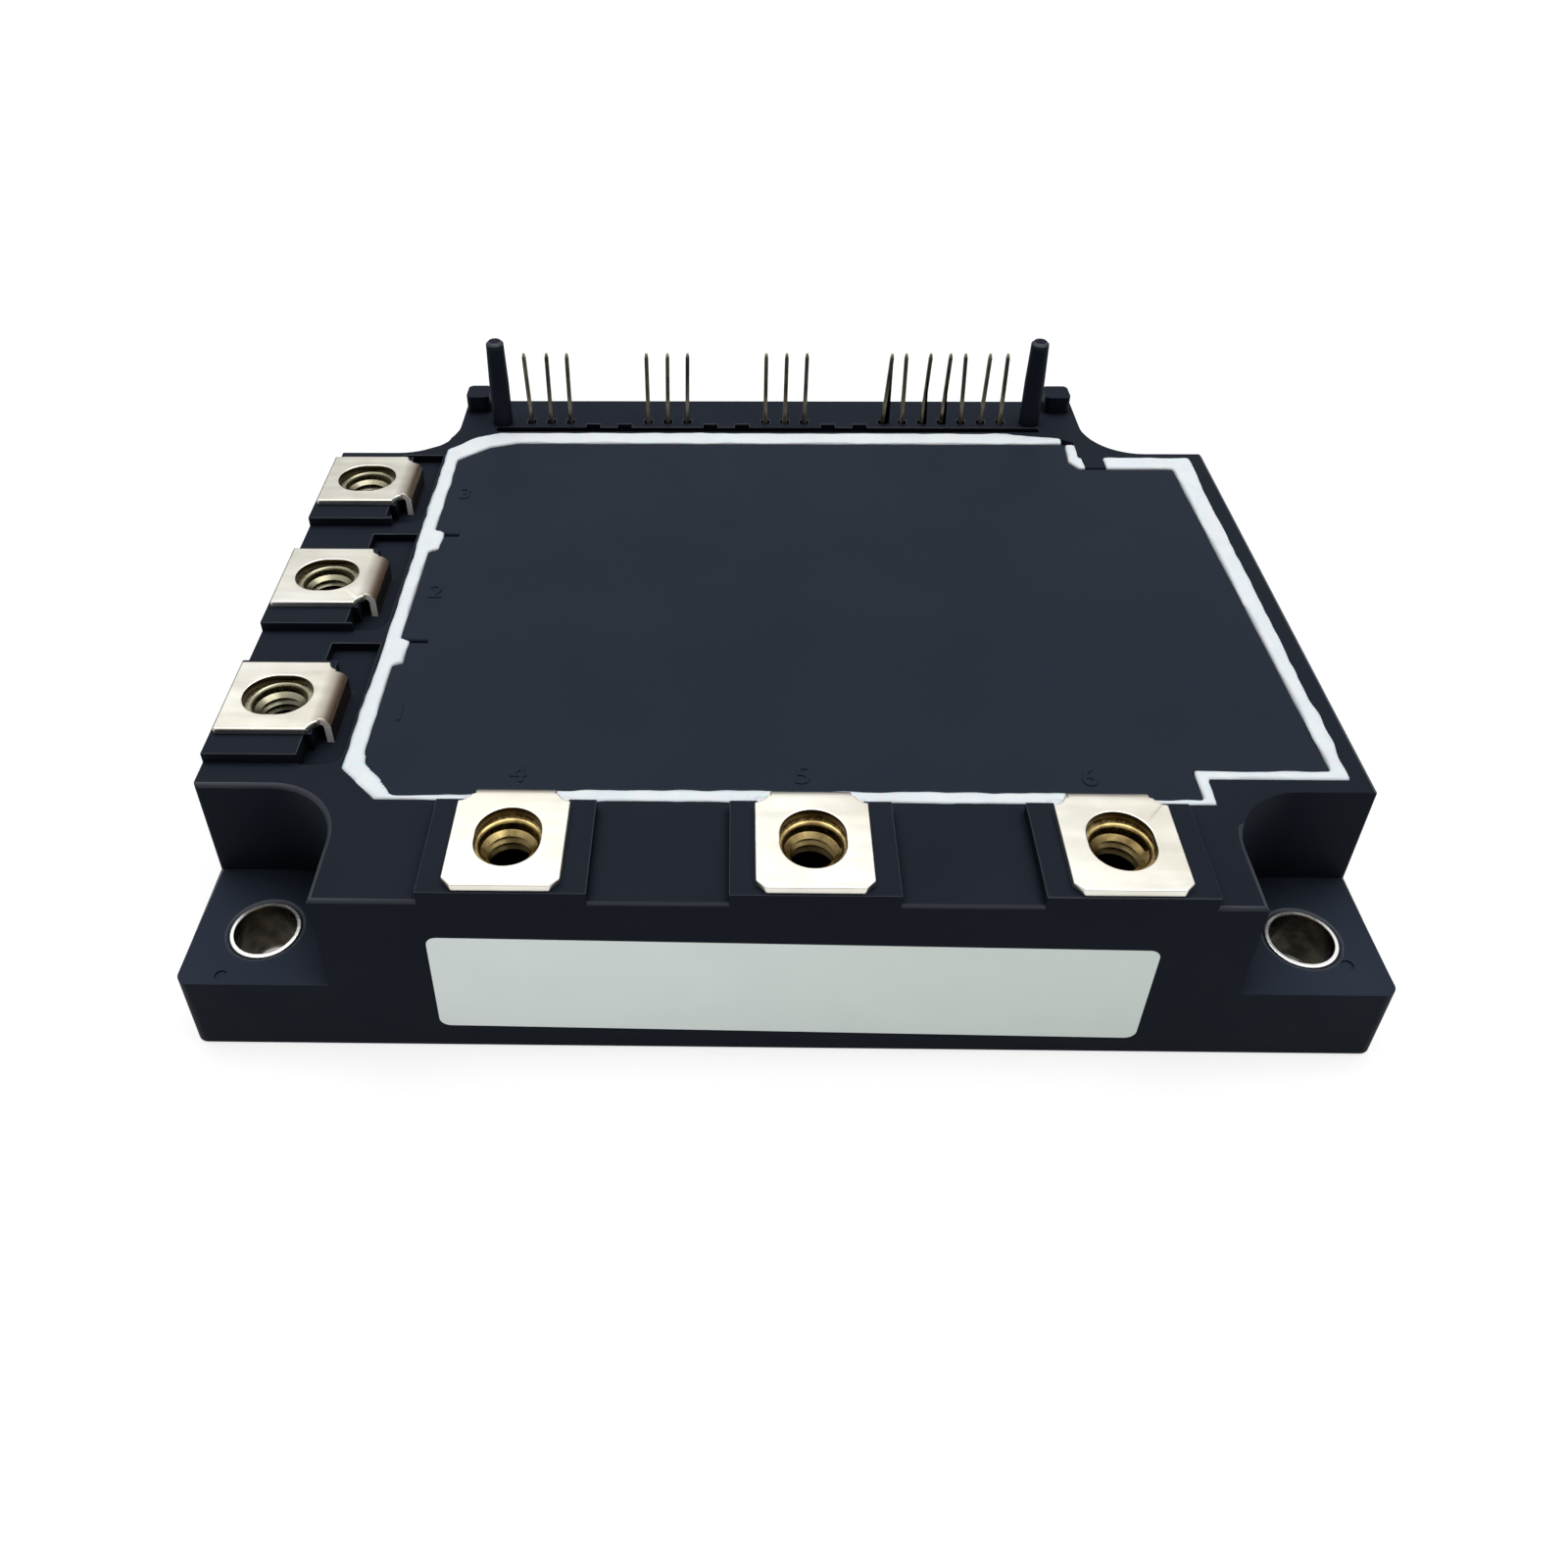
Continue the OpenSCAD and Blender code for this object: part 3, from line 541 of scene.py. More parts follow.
@dataclass(frozen=True)
class TerminalFinish(Finish):
    """Nickel with painted shade at the bend and in the screw slots, and a pale, matt painted highlight on the
    cut leg ends.

    Attributes:
        left_bend: Start and end of the painted bend shade along X, on the left terminals.
        front_bend: Start and end of the painted bend shade along Y, on the front terminals.
        left_side: Largest X of the left terminals.
        front_side: Largest Y of the front terminals.
        left_screw: Middle of the first left screw slot.
        front_screw: Middle of the first front screw slot.
        pitches: Distance between the front and between the left terminals.
        half_slot: Half of the slot's straight length.
        hole: Radius of the slot's ends, with its edge.
        tan: Tone of the painted shade at the bend.
        front_tan: Its share on the front terminals.
        shade: Tone of the painted shade on the slot's wall.
        cut: Tone of the painted highlight on the cut ends.
        leg: Distance from the start of the painted bend shade to the leg.
        facing: Direction along Y below which a face is a cut end.
        matt: Share of the metal look that the cut ends lose under their painted highlight.
    """

    left_bend: tuple[float, float] = (-0.0446, -0.0429)
    front_bend: tuple[float, float] = (-0.0330, -0.0319)
    left_side: float = -0.040
    front_side: float = -0.030
    left_screw: tuple[float, float] = (-0.0486, -0.0193)
    front_screw: tuple[float, float] = (-0.02369, -0.03775)
    pitches: tuple[float, float] = (0.02625, 0.020)
    half_slot: float = 0.000525
    hole: float = 0.00289
    tan: Colour = (0.15, 0.10, 0.065)
    front_tan: float = 0.45
    shade: Colour = (0.07, 0.05, 0.03)
    cut: Colour = (0.95, 0.93, 0.88)
    leg: float = 0.0009
    facing: float = -0.95
    matt: float = 0.85

    def inside_hole(self, graph: Graph, parts: bpy.types.bpy_prop_collection) -> Socket:
        """1 on the wall of the screw slots, where the painted shade goes, 0 elsewhere.

        Args:
            graph: Nodes of the material.
            parts: X, Y and Z of the place on the object.

        Returns:
            The share.
        """
        radii = []
        for (x, y), wrapped in ((self.left_screw, "Y"), (self.front_screw, "X")):
            offsets = {"X": graph.calc("SUBTRACT", parts["X"], x), "Y": graph.calc("SUBTRACT", parts["Y"], y)}
            half = self.pitches["XY".index(wrapped)] / 2
            offsets[wrapped] = graph.calc("WRAP", offsets[wrapped], half, -half)
            along = "X" if wrapped == "Y" else "Y"
            beyond = graph.calc("SUBTRACT", graph.calc("ABSOLUTE", offsets[along]), self.half_slot)
            offsets[along] = graph.calc("MAXIMUM", beyond, 0.0)
            squares = [graph.calc("MULTIPLY", o, o) for o in offsets.values()]
            radii.append(graph.calc("SQRT", graph.calc("ADD", *squares)))
        return graph.calc("LESS_THAN", graph.calc("MINIMUM", *radii), self.hole)

    def tone(self, graph: Graph) -> Socket:
        """Two tones, with painted shade at the bend and in the slot, and a painted highlight on the cut leg.

        Args:
            graph: Nodes of the material.

        Returns:
            The colour.
        """
        parts = graph.split(graph.coords)
        on_left = graph.calc("LESS_THAN", parts["X"], self.left_side)
        on_front = graph.calc("LESS_THAN", parts["Y"], self.front_side)
        left = graph.calc("MULTIPLY", graph.fade(parts["X"], *self.left_bend), on_left)
        front = graph.calc("MULTIPLY", graph.fade(parts["Y"], *self.front_bend), on_front)
        front = graph.calc("MULTIPLY", front, self.front_tan)
        # Painted shade at the bend: full on the left terminals, in part on the front ones.
        with_painted_bend_shade = graph.blend(super().tone(graph), self.tan, graph.calc("MAXIMUM", left, front))
        # Cut end faces of the leg: pale and less metallic, a painted highlight.
        ahead = graph.split(graph.add("ShaderNodeNewGeometry").outputs["True Normal"])["Y"]
        beyond = graph.calc("GREATER_THAN", parts["X"], self.left_bend[0] + self.leg)
        leg = graph.calc("MULTIPLY", beyond, on_left)
        ends = graph.calc("MULTIPLY", graph.calc("LESS_THAN", ahead, self.facing), leg)
        graph.wire("Metallic", graph.calc("SUBTRACT", 1.0, graph.calc("MULTIPLY", ends, self.matt)))
        # Painted shade on the walls of the screw slots.
        shaded = graph.blend(with_painted_bend_shade, self.shade, self.inside_hole(graph, parts))
        # Painted highlight on the cut ends of the leg.
        return graph.blend(shaded, self.cut, ends)


FINISHES: tuple[Finish, ...] = (
    CaseFinish("case_plastic", (0.0148, 0.0192, 0.0292), (0.0168, 0.0214, 0.0322), (0.42, 0.52),
               specular=0.02, grain_scale=5200, grain_depth=6e-6),
    Finish("lid_plastic", (0.0190, 0.0255, 0.0385), (0.0208, 0.0278, 0.0415), (0.46, 0.56),
           specular=0.04, grain_scale=4200, grain_depth=7e-6, tone_scale=60),
    Finish("bead_silicone", (0.84, 0.90, 0.96), (0.90, 0.95, 0.99), (0.35, 0.6),
           tone_scale=300, grain_scale=900, grain_depth=3e-5, specular=0.4, soft=0.25, seep=0.0006),
    FoilFinish("label_foil", (0.72, 0.79, 0.75), (0.80, 0.87, 0.85), (0.35, 0.45),
               tone_scale=40, grain_scale=6000, grain_depth=2e-6, specular=0.4, metallic=0.5),
    Finish("plate_metal", (0.55, 0.53, 0.50), (0.64, 0.62, 0.58), (0.28, 0.42), Pattern.BRUSHED,
           metallic=1.0, grain_scale=2500, grain_depth=2e-6, brush=(0.08, 1, 1)),
    CollarFinish("collar_metal", (0.74, 0.73, 0.70), (0.88, 0.88, 0.87), (0.2, 0.35), Pattern.BRUSHED,
                 metallic=1.0, grain_scale=4000, grain_depth=2e-6, brush=(1, 1, 0.1)),
    TerminalFinish("terminal_nickel", (0.70, 0.67, 0.58), (0.82, 0.80, 0.73), (0.26, 0.40), Pattern.BRUSHED,
                   metallic=1.0, tone_scale=160, grain_scale=5000, grain_depth=1.2e-6, brush=(0.15, 1, 1)),
    BoreFinish("nut_brass", (0.20, 0.14, 0.055), (0.46, 0.35, 0.15), (0.18, 0.34),
               metallic=1.0, tone_scale=700, grain_scale=6000, grain_depth=3e-6),
    Finish("pin_metal", (0.17, 0.145, 0.10), (0.33, 0.29, 0.21), (0.25, 0.45), Pattern.BRUSHED,
           metallic=1.0, tone_scale=500, grain_scale=6000, grain_depth=2e-6, brush=(1, 1, 0.1)),
    Finish("substrate_ceramic", (0.78, 0.77, 0.72), (0.86, 0.85, 0.81), (0.4, 0.55), grain_depth=3e-6),
    Finish("circuit_copper", (0.55, 0.28, 0.17), (0.70, 0.38, 0.24), (0.3, 0.5), Pattern.CELLS,
           metallic=1.0, grain_scale=3500, grain_depth=3e-6),
    Finish("silicon", (0.28, 0.30, 0.33), (0.38, 0.40, 0.44), (0.15, 0.25),
           metallic=0.6, grain_scale=9000, grain_depth=1e-6),
    Finish("wire_aluminium", (0.70, 0.71, 0.72), (0.84, 0.85, 0.86), (0.2, 0.35),
           metallic=1.0, grain_depth=2e-6),
    Finish("component_black", (0.012, 0.012, 0.013), (0.020, 0.020, 0.022), (0.45, 0.6), grain_depth=6e-6),
    BoardFinish("board_green", (0.012, 0.075, 0.035), (0.02, 0.11, 0.05), (0.25, 0.4), grain_depth=4e-6),
    Finish("capacitor_ceramic", (0.36, 0.26, 0.16), (0.46, 0.35, 0.22), (0.35, 0.5), tone_scale=900),
    Finish("gel_silicone", (0.70, 0.76, 0.74), (0.78, 0.83, 0.81), (0.08, 0.16),
           grain_scale=200, grain_depth=2e-5, soft=0.3, seep=0.002, alpha=0.45),
)


class Paint:
    """The finishes as materials, by slot, and the slot of each CAD node."""

    def __init__(self) -> None:
        """Builds one material per finish and reads the slots from the record."""
        self.by_slot: dict[str, Material] = {f.slot: f.build() for f in FINISHES}
        self.slot_of: dict[str, str] = {
            entry["node"]: entry["material_slot"] for entry in frame["record"]["subparts"]
        }

    def dress(self, piece: Object, slot: str) -> None:
        """Gives a piece the finish of a slot.

        Args:
            piece: Object to dress.
            slot: Material slot of the record.
        """
        piece.data.materials.clear()
        piece.data.materials.append(self.by_slot[slot])

    def dress_node(self, node: str) -> None:
        """Gives a CAD node, as it is, the finish of its own slot."""
        self.dress(frame["nodes"][node], self.slot_of[node])


# ---------------- modelling


def pick_only(*objects: Object) -> None:
    """Deselects everything, then selects the objects and makes the first one active.

    Args:
        *objects: Objects to select.
    """
    if bpy.context.object and bpy.context.object.mode != "OBJECT":
        bpy.ops.object.mode_set(mode="OBJECT")
    bpy.ops.object.select_all(action="DESELECT")
    for item in objects:
        item.select_set(True)
    bpy.context.view_layer.objects.active = objects[0]


def apply_modifiers(piece: Object) -> None:
    """Applies all modifiers of a piece, in order."""
    pick_only(piece)
    for modifier in list(piece.modifiers):
        bpy.ops.object.modifier_apply(modifier=modifier.name)


def settle(piece: Object) -> None:
    """Moves the place, turn and size of a piece into its mesh."""
    pick_only(piece)
    bpy.ops.object.transform_apply(location=True, rotation=True, scale=True)


@cache
def box_of(node: str) -> tuple[Vector, Vector]:
    """Lowest and highest corner of a CAD node, measured once."""
    low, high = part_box(node)
    return low, high


def middle(node: str) -> Vector:
    """Middle of a CAD node's box."""
    low, high = box_of(node)
    return (low + high) / 2


def copy_node(node: str, name: str) -> Object:
    """Copies a CAD node as a clean mesh with flat faces in one piece.

    Args:
        node: CAD node to copy.
        name: Name of the new piece.

    Returns:
        The new piece, with no parent and no finish.
    """
    piece = bpy.data.objects.new(name, frame["nodes"][node].data.copy())
    bpy.context.scene.collection.objects.link(piece)
    piece.data.materials.clear()
    pick_only(piece)
    bpy.ops.object.mode_set(mode="EDIT")
    bpy.ops.mesh.select_all(action="SELECT")
    bpy.ops.mesh.remove_doubles(threshold=MERGE)
    bpy.ops.mesh.dissolve_limited(angle_limit=FLAT_ANGLE)
    bpy.ops.object.mode_set(mode="OBJECT")
    return piece


def keep_inside(piece: Object, low: Vector, high: Vector) -> None:
    """Moves vertices that stand out of a box back to its sides.

    Args:
        piece: Piece with its place in its mesh.
        low: Lowest corner of the box.
        high: Highest corner of the box.
    """
    for vertex in piece.data.vertices:
        vertex.co = [min(max(c, a), b) for c, a, b in zip(vertex.co, low, high)]


def round_edges(piece: Object, radius: float, weight: Callable[[Vector], float] | None = None,
                sharp: float = 35.0, steps: int = 3, shortest: float = 0.0) -> None:
    """Rounds the outward edges of a piece with a Bevel modifier.

    Args:
        piece: Piece to round.
        radius: Radius in metres at a weight of 1.
        weight: Gives the weight, 0 to 1, at the middle of an edge. All edges get 1 without it.
        sharp: Smallest angle in degrees between the faces of an edge that is rounded.
        steps: Segments of the rounding.
        shortest: Length in metres below which an edge is left sharp.
    """
    low, high = (Vector(f(v.co[i] for v in piece.data.vertices) for i in range(3)) for f in (min, max))
    mesh = bmesh.new()
    mesh.from_mesh(piece.data)
    layers = mesh.edges.layers.float
    layer = layers.get("bevel_weight_edge") or layers.new("bevel_weight_edge")
    for edge in mesh.edges:
        long = edge.calc_length() >= shortest
        if long and edge.is_manifold and edge.is_convex and edge.calc_face_angle(0) > math.radians(sharp):
            centre = (edge.verts[0].co + edge.verts[1].co) / 2
            edge[layer] = weight(centre) if weight else 1.0
    mesh.to_mesh(piece.data)
    mesh.free()
    bevel = piece.modifiers.new("rounding", "BEVEL")
    bevel.limit_method = "WEIGHT"
    bevel.width = radius
    bevel.segments = steps
    bevel.miter_outer = "MITER_ARC"
    bevel.use_clamp_overlap = False
    apply_modifiers(piece)
    keep_inside(piece, low, high)
    smooth(piece)


def smooth(piece: Object, angle: float = 32.0) -> None:
    """Shades smoothly up to an angle, with flat faces kept flat by weighted normals.

    Args:
        piece: Piece to shade.
        angle: Largest angle in degrees that is shaded smoothly.
    """
    pick_only(piece)
    bpy.ops.object.shade_smooth_by_angle(angle=math.radians(angle))
    weighted = piece.modifiers.new("flat_faces", "WEIGHTED_NORMAL")
    weighted.keep_sharp = True
    apply_modifiers(piece)


def join(pieces: Sequence[Object], name: str) -> Object:
    """Joins pieces into one.

    Args:
        pieces: Pieces to join.
        name: Name of the result.

    Returns:
        The joined piece.
    """
    pick_only(*pieces)
    bpy.ops.object.join()
    result = bpy.context.view_layer.objects.active
    result.name = name
    return result


@dataclass
class SubAssembly:
    """A group of pieces that are built and dressed together."""

    paint: Paint
    pieces: list[Object] = field(default_factory=list)

    def add(self, piece: Object, slot: str, *nodes: str) -> Object:
        """Dresses a piece, lets it ride and lets it stand for its CAD nodes.

        Args:
            piece: Finished piece.
            slot: Material slot of the record.
            *nodes: CAD nodes that it replaces.

        Returns:
            The piece.
        """
        self.paint.dress(piece, slot)
        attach(piece, ROOT)
        if nodes:
            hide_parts(*nodes)
        self.pieces.append(piece)
        return piece

    def rounded(self, node: str, radius: float, **options: object) -> Object:
        """Replaces a CAD node by a copy with rounded edges and the finish of its slot.

        Args:
            node: CAD node.
            radius: Edge radius in metres.
            **options: Further options of round_edges.

        Returns:
            The new piece.
        """
        piece = copy_node(node, f"{node}_shape")
        round_edges(piece, radius, **options)
        return self.add(piece, self.paint.slot_of[node], node)

    def build(self) -> None:
        """Builds the pieces of the group."""
        raise NotImplementedError

    def report(self) -> None:
        """Logs each piece with its number of faces."""
        for piece in self.pieces:
            log.info("%s: %s, %d faces", type(self).__name__, piece.name, len(piece.data.polygons))


# ---------------- case and lid


@dataclass
class CaseShell(SubAssembly):
    """Black moulding with rounded outer edges.

    Attributes:
        edge: Radius of the outer edges.
        fine: Share of that radius at seats, pin strip and posts.
        shortest: Length below which an edge is left sharp.
        floor_z: Height below which edges are left sharp.
        reach: How far the lid's pocket reaches past the bead.
        label_depth: Depth of the label's recess, with some room.
        label_reach: How far it reaches above and below the label.
        raised: Height over the bead where raised parts start.
        front_seat: Half width and depth of a front seat.
        left_seat: Half width and depth of a left seat.
        corner: Length of the case beside the pin strip.
    """

    edge: float = 0.4 * MM
    fine: float = 0.2
    shortest: float = 0.2 * MM
    floor_z: float = 1.0 * MM
    reach: float = 0.3 * MM
    label_depth: float = 0.2 * MM
    label_reach: float = 0.5 * MM
    raised: float = 0.1 * MM
    front_seat: tuple[float, float] = (7.5 * MM, 12.0 * MM)
    left_seat: tuple[float, float] = (10.5 * MM, 16.0 * MM)
    corner: float = 13.0 * MM

    def in_pocket(self, at: Vector) -> bool:
        """True at the lid's pocket, up to the top of the bead.

        Args:
            at: Middle of the edge.

        Returns:
            True in the pocket.
        """
        low, high = box_of("lid_adhesive")
        across = all(a - self.reach < c < b + self.reach for a, c, b in zip(low.xy, at.xy, high.xy))
        return across and at.z < high.z + self.raised / 2

    def at_label(self, at: Vector) -> bool:
        """True at the recess of the label.

        Args:
            at: Middle of the edge.

        Returns:
            True at the label.
        """
        low, high = box_of("label")
        ahead = at.y < box_of("case")[0].y + self.label_depth
        return ahead and low.z - self.label_reach < at.z < high.z + self.label_reach

    def at_seat(self, at: Vector) -> bool:
        """True at the seats of the terminals.

        Args:
            at: Middle of the edge.

        Returns:
            True at a seat.
        """
        low, _ = box_of("case")
        (front_x, front_y), (left_y, left_x) = self.front_seat, self.left_seat
        front = any(abs(at.x - middle(f"nut_{t}").x) < front_x for t in "wvu") and at.y < low.y + front_y
        left = any(abs(at.y - middle(f"nut_{t}").y) < left_y for t in "npb") and at.x < low.x + left_x
        return front or left

    def weight(self, at: Vector) -> float:
        """Weight of an edge: full on the outside, fine in between, none inside.

        Args:
            at: Middle of the edge.

        Returns:
            The weight, 0 to 1.
        """
        bead_top = box_of("lid_adhesive")[1]
        strip = at.y > bead_top.y and abs(at.x) < box_of("case")[1].x - self.corner
        if at.z < self.floor_z or self.in_pocket(at) or self.at_label(at):
            return 0.0
        if at.z > bead_top.z + self.raised or self.at_seat(at) or strip:
            return self.fine
        return 1.0

    def build(self) -> None:
        """Builds the moulding."""
        self.rounded("case", self.edge, weight=self.weight, shortest=self.shortest)


@dataclass
class Lid(SubAssembly):
    """Glued-in lid with rounded rim and a small moulded number beside each terminal.

    Attributes:
        upper: Depth below the top within which edges are rounded.
        left_in: Distance of the left numbers from the lid's side.
        front_in: Distance of the front numbers from the lid's front.
        aside: Distance of a number from the middle of its terminal.
    """

    rim: float = 0.3 * MM
    number_size: float = 3.2 * MM
    number_height: float = 0.10 * MM
    upper: float = 0.6 * MM
    left_in: float = 2.31 * MM
    front_in: float = 2.772 * MM
    aside: float = 0.5 * MM

    def weight(self, at: Vector) -> float:
        """Rounds the upper rim and leaves the ribs below."""
        return 1.0 if at.z > box_of("lid")[1].z - self.upper else 0.0

    def number(self, digit: int, place: Vector) -> Object:
        """Models a raised digit.

        Args:
            digit: Digit to write.
            place: Middle of the digit on the lid.

        Returns:
            The digit as a mesh.
        """
        bpy.ops.object.text_add(location=(place.x, place.y, place.z + self.number_height / 2))
        text = bpy.context.object
        text.data.body = str(digit)
        text.data.align_x, text.data.align_y = "CENTER", "CENTER"
        text.data.size = self.number_size
        text.data.extrude = self.number_height / 2
        text.data.bevel_depth = self.number_height / 4
        text.data.resolution_u = 6
        pick_only(text)
        bpy.ops.object.convert(target="MESH")
        settle(text)
        return text

    def places(self) -> list[Vector]:
        """Places of the digits: right of the left terminals, behind the front ones.

        Returns:
            The middle of each digit on the lid.
        """
        low, high = box_of("lid")
        centres = {t: middle(f"terminal_{t}") for t in "npbwvu"}
        left = [Vector((low.x + self.left_in, centres[t].y - self.aside, high.z)) for t in "npb"]
        front = [Vector((centres[t].x - self.aside, low.y + self.front_in, high.z)) for t in "wvu"]
        return left + front

    def build(self) -> None:
        """Builds the lid and its digits."""
        self.rounded("lid", self.rim, weight=self.weight)
        digits = [self.number(i + 1, place) for i, place in enumerate(self.places())]
        self.add(join(digits, "terminal_numbers"), "lid_plastic")


@dataclass
class Bead(SubAssembly):
    """White silicone between lid and case: uneven, slightly proud and smeared over both edges.

    Attributes:
        voxel: Size of the even faces.
        crown: Height over the lid.
        smear: Reach of the smear at a noise of 1.
        wobble: Features per metre of the unevenness.
        skirt: Share of a voxel below the lid's top where swelling starts.
        spread: Mean of the smear, strength of its slow and fast waves, and their ratio.
        least: Least smear.
        dome: Share of the crown on upright faces, and what level faces add.
        ripple: Mean and unevenness of the crown, and its ratio to the slow wave.
    """

    voxel: float = 0.26 * MM
    crown: float = 0.16 * MM
    smear: float = 0.42 * MM
    wobble: float = 160.0
    skirt: float = 0.2
    spread: tuple[float, float, float, float] = (0.25, 1.1, 0.7, 3.1)
    least: float = -0.2
    dome: tuple[float, float] = (0.35, 0.65)
    ripple: tuple[float, float, float] = (0.8, 0.4, 2.0)

    def swell(self, piece: Object) -> None:
        """Pushes the top of the bead up and its upper rim outwards by an uneven amount.

        Args:
            piece: Bead with even faces.
        """
        surface = box_of("lid")[1].z
        mean, slow, fast, ratio = self.spread
        even, rough, rate = self.ripple
        normals = [vertex.normal.copy() for vertex in piece.data.vertices]
        for vertex, normal in zip(piece.data.vertices, normals):
            if vertex.co.z < surface - self.skirt * self.voxel:
                continue
            seed = vertex.co * self.wobble
            amount = mean + slow * noise.noise(seed) + fast * noise.noise(seed * ratio)
            side = Vector((normal.x, normal.y, 0))
            vertex.co += side * self.smear * max(amount, self.least)
            height = even + rough * noise.noise(seed * rate)
            vertex.co.z += self.crown * (self.dome[0] + self.dome[1] * normal.z) * height

    def build(self) -> None:
        """Builds the bead from its plain CAD form."""
        piece = copy_node("lid_adhesive", "lid_adhesive_bead")
        remesh = piece.modifiers.new("even_faces", "REMESH")
        remesh.mode = "VOXEL"
        remesh.voxel_size = self.voxel
        apply_modifiers(piece)
        self.swell(piece)
        relax = piece.modifiers.new("relax", "SMOOTH")
        relax.factor, relax.iterations = 0.5, 2
        apply_modifiers(piece)
        pick_only(piece)
        bpy.ops.object.shade_smooth()
        self.add(piece, "bead_silicone", "lid_adhesive")


@dataclass
class Label(SubAssembly):
    """Bare foil label on the front face."""

    edge: float = 0.05 * MM

    def build(self) -> None:
        """Builds the label."""
        self.rounded("label", self.edge, sharp=50, steps=2)


# ---------------- metal pieces


@dataclass
class Terminals(SubAssembly):
    """Pressed terminals with rounded edges and their nuts with cut threads.

    Attributes:
        minor: Inner radius of the thread.
        major: Outer radius of the thread.
        lead_in: Height of its start over the nut's underside.
        sunk: Its reach into the nut.
        gap: Half of the gap between two turns, as a share of the pitch.
    """

    edge: float = 0.14 * MM
    nut_edge: float = 0.08 * MM
    pitch: float = 0.8 * MM
    minor: float = 2.0 * MM
    major: float = 2.5 * MM
    lead_in: float = 0.42 * MM
    sunk: float = 0.03 * MM
    gap: float = 0.02
    turns: int = 3
    turn_steps: int = 40

    def thread(self, turns: int) -> Object:
        """Cuts a helical ridge about the Z axis, upwards from z = 0.

        Args:
            turns: Number of full turns.

        Returns:
            The ridge as a closed piece, one pitch longer than its turns.
        """
        root = self.major + self.sunk
        mesh = bmesh.new()
        foot = self.gap * self.pitch
        corners = [(self.minor, self.pitch / 2), (root, self.pitch - foot), (root, foot)]
        verts = [mesh.verts.new((x, 0, z)) for x, z in corners]
        for i in range(3):
            mesh.edges.new((verts[i], verts[i - 1]))
        data = bpy.data.meshes.new("thread")
        mesh.to_mesh(data)
        mesh.free()
        ridge = bpy.data.objects.new("thread", data)
        bpy.context.scene.collection.objects.link(ridge)
        helix = ridge.modifiers.new("helix", "SCREW")
        helix.screw_offset, helix.iterations = self.pitch, turns
        helix.steps = helix.render_steps = self.turn_steps
        apply_modifiers(ridge)
        self.close(ridge)
        return ridge

    @staticmethod
    def close(piece: Object) -> None:
        """Closes the two open ends of a swept piece and points its faces outwards.

        Args:
            piece: Swept piece with open, three-sided ends.
        """
        mesh = bmesh.new()
        mesh.from_mesh(piece.data)
        bmesh.ops.remove_doubles(mesh, verts=mesh.verts[:], dist=1e-7)
        bmesh.ops.holes_fill(mesh, edges=[e for e in mesh.edges if e.is_boundary], sides=3)
        bmesh.ops.recalc_face_normals(mesh, faces=mesh.faces[:])
        mesh.to_mesh(piece.data)
        mesh.free()

    def nut(self, name: str, ridge: Object) -> None:
        """Builds one nut from its CAD form and a copy of the thread.

        Args:
            name: Letter of its terminal.
            ridge: Thread to copy.
        """
        node = f"nut_{name}"
        low, _ = box_of(node)
        body = copy_node(node, f"{node}_body")
        round_edges(body, self.nut_edge, sharp=50, steps=2)
        thread = bpy.data.objects.new(f"{node}_thread", ridge.data.copy())
        bpy.context.scene.collection.objects.link(thread)
        centre = middle(node)
        thread.location = (centre.x, centre.y, low.z + self.lead_in)
        settle(thread)
        smooth(thread)
        self.add(join([body, thread], f"{node}_shape"), "nut_brass", node)

    def build(self) -> None:
        """Builds the six terminals and nuts."""
        ridge = self.thread(self.turns)
        for name in "wvunpb":
            self.rounded(f"terminal_{name}", self.edge)
            self.nut(name, ridge)
        bpy.data.objects.remove(ridge)


@dataclass
class Hardware(SubAssembly):
    """Collars of the mounting corners, base plate and control pins."""

    collar_edge: float = 0.12 * MM
    plate_edge: float = 0.25 * MM
    pin_edge: float = 0.06 * MM
    pins: int = 16

    def build(self) -> None:
        """Builds the collars, the base plate and the pins."""
        for place in ("front_left", "front_right", "back_left", "back_right"):
            self.rounded(f"collar_{place}", self.collar_edge)
        self.rounded("base_plate", self.plate_edge)
        for i in range(1, self.pins + 1):
            self.rounded(f"control_pin_{i}", self.pin_edge, sharp=20, steps=2)


@dataclass
class PowerCircuit(SubAssembly):
    """Everything below the lid, in its CAD form with its own finishes."""

    nodes: tuple[str, ...] = (
        "ceramic_left", "ceramic_right", "circuit_copper_left", "circuit_copper_right",
        "backing_copper_left", "backing_copper_right", "igbt_chips", "diode_chips", "bond_wires",
        "gate_leads", "thermistor", "control_board", "driver_ics", "board_capacitors",
        "board_resistors", "silicone_gel")

    def build(self) -> None:
        """Dresses the inner pieces."""
        for node in self.nodes:
            self.paint.dress_node(node)
            self.pieces.append(frame["nodes"][node])


# ---------------- studio


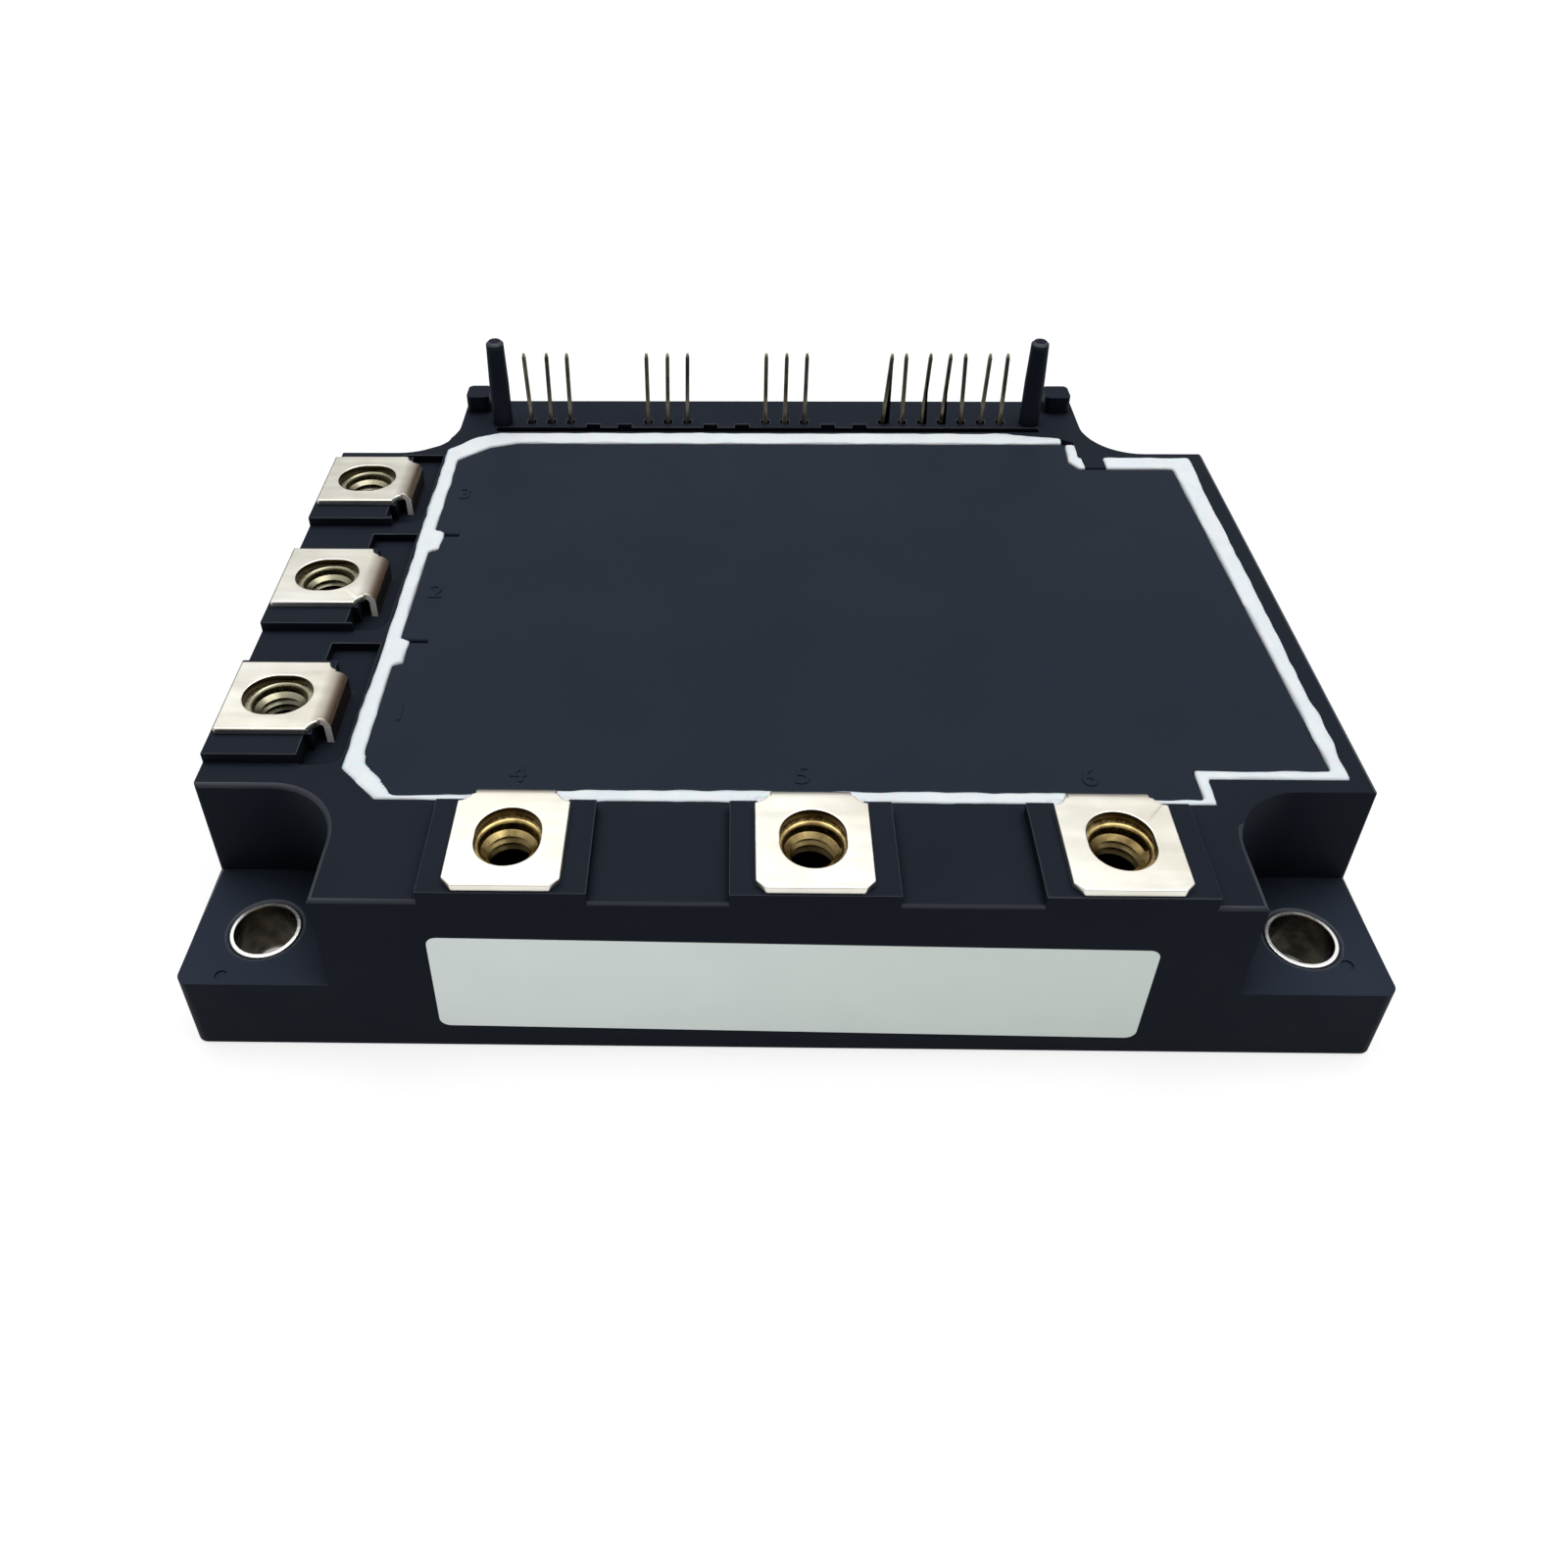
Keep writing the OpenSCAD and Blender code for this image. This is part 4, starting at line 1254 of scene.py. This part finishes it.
@dataclass
class Studio:
    """White table, one soft lamp overhead, a graded sky in reflections, and the camera.

    Attributes:
        eye: Camera position in metres.
        turn: Camera rotation in radians.
        lens: Focal length in millimetres, on a 36 mm sensor.
        shift: Camera shift, as shares of the picture's width.
        ambient: Strength of the surroundings as soft light.
        sky: Lowest and highest sine of elevation of the reflected sky, and its strength at both.
        near: Least distance at which things are seen.
        table_size: Side of the table.
        table_z: Height of its top, just below the object.
        table_matt: Its brightness under light.
        table_glow: Brightness that it has by itself.
        lamp_place: Middle of the lamp.
        lamp_aim: Point that it faces.
        lamp_size: Width and height of the lamp.
        lamp_power: Its power in watts.
    """

    eye: Triple = (-0.004117, -0.119272, 0.107678)
    turn: Triple = (0.91856, 0.00826, 0.01813)
    lens: float = 31.327
    shift: tuple[float, float] = (0.0473, -0.1057)
    ambient: float = 0.3
    sky: tuple[float, float, float, float] = (0.46, 0.74, 0.6, 1.12)
    near: float = 0.005
    table_size: float = 6.0
    table_z: float = -0.02 * MM
    table_matt: float = 0.42
    table_glow: float = 0.74
    lamp_place: Triple = (0.04, 0.10, 0.80)
    lamp_aim: Triple = (0, 0, 0.01)
    lamp_size: tuple[float, float] = (1.1, 0.6)
    lamp_power: float = 5.4

    def camera(self) -> None:
        """Creates the camera and makes it the scene's."""
        data = bpy.data.cameras.new("camera")
        data.sensor_width, data.lens = 36.0, self.lens
        data.shift_x, data.shift_y = self.shift
        data.clip_start = self.near
        eye = bpy.data.objects.new("camera", data)
        eye.location, eye.rotation_euler = self.eye, self.turn
        bpy.context.scene.collection.objects.link(eye)
        bpy.context.scene.camera = eye

    def lamp(self) -> None:
        """Adds the soft rectangular lamp."""
        data = bpy.data.lights.new("softbox", "AREA")
        data.shape = "RECTANGLE"
        data.size, data.size_y = self.lamp_size
        data.energy = self.lamp_power
        lamp = bpy.data.objects.new("softbox", data)
        lamp.location = self.lamp_place
        ray = Vector(self.lamp_aim) - Vector(self.lamp_place)
        lamp.rotation_euler = ray.to_track_quat("-Z", "Y").to_euler()
        bpy.context.scene.collection.objects.link(lamp)

    @staticmethod
    def seen(nodes: Nodes, glossy: float) -> Socket:
        """Strength that is 1 for the camera and for rays through glass, and glossy for reflections.

        Args:
            nodes: Nodes of the table or the world.
            glossy: Strength in reflections.

        Returns:
            The strength as an output.
        """
        path = nodes.add("ShaderNodeLightPath").outputs
        total = nodes.calc("MULTIPLY", path["Is Glossy Ray"], glossy)
        for name in ("Is Camera Ray", "Is Transmission Ray"):
            total = nodes.calc("ADD", total, path[name])
            total.node.use_clamp = True
        return total

    def table(self) -> None:
        """Adds the white table, which keeps a soft shadow."""
        bpy.ops.mesh.primitive_plane_add(size=self.table_size, location=(0, 0, self.table_z))
        floor = bpy.context.object
        floor.name = "table"
        settle(floor)
        material = bpy.data.materials.new("table_white")
        material.use_nodes = True
        nodes = Nodes(material.node_tree)
        nodes.tree.nodes.clear()
        out = nodes.add("ShaderNodeOutputMaterial")
        matt = nodes.add("ShaderNodeBsdfDiffuse", Color=(*(self.table_matt,) * 3, 1))
        glow = nodes.add("ShaderNodeEmission", Strength=self.table_glow)
        dark = nodes.add("ShaderNodeEmission", Strength=0.0)
        blend = nodes.add("ShaderNodeMixShader")
        total = nodes.add("ShaderNodeAddShader")
        nodes.feed(blend.inputs[0], self.seen(nodes, 1.0))
        for target, source in (
                (blend.inputs[1], dark), (blend.inputs[2], glow), (total.inputs[0], matt),
                (total.inputs[1], blend), (out.inputs["Surface"], total)):
            nodes.feed(target, source.outputs[0])
        floor.data.materials.append(material)
        floor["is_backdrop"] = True

    def world(self) -> None:
        """White for the camera, graded by height in reflections, dimmer as light on the object."""
        world = bpy.data.worlds.new("studio")
        world.use_nodes = True
        bpy.context.scene.world = world
        nodes = Nodes(world.node_tree)
        background = next(n for n in nodes.tree.nodes if n.type == "BACKGROUND")
        background.inputs["Color"].default_value = (1, 1, 1, 1)
        way = nodes.add("ShaderNodeTexCoord").outputs["Generated"]
        sky = nodes.remap(nodes.split(way)["Z"], *self.sky)
        share = nodes.remap(self.seen(nodes, 0.0), 0.0, 1.0, self.ambient, 1.0)
        mirror = nodes.add("ShaderNodeLightPath").outputs["Is Glossy Ray"]
        total = nodes.add("ShaderNodeMix")
        for index, source in ((0, mirror), (2, share), (3, sky)):
            nodes.feed(total.inputs[index], source)
        nodes.feed(background.inputs["Strength"], total.outputs[0])

    def build(self) -> None:
        """Sets up the studio."""
        self.camera()
        self.table()
        self.world()
        self.lamp()
        bpy.context.scene.view_settings.view_transform = "Standard"


def write_sizes() -> None:
    """Works out the box of the CAD model and of the dressed model as plain lists; nothing is written."""
    boxes = {"cad": CAD_BOUNDS, "visual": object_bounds()}
    plain = {name: [[float(n) for n in corner] for corner in box] for name, box in boxes.items()}


def main() -> None:
    """Builds and dresses the module, group by group, and sets up the studio."""
    logging.basicConfig(level=logging.INFO, format="%(message)s")
    paint = Paint()
    groups: Iterable[SubAssembly] = (
        CaseShell(paint), Lid(paint), Bead(paint), Label(paint),
        Terminals(paint), Hardware(paint), PowerCircuit(paint))
    for group in groups:
        group.build()
        group.report()
    Studio().build()
    write_sizes()


if __name__ == "__main__":
    main()
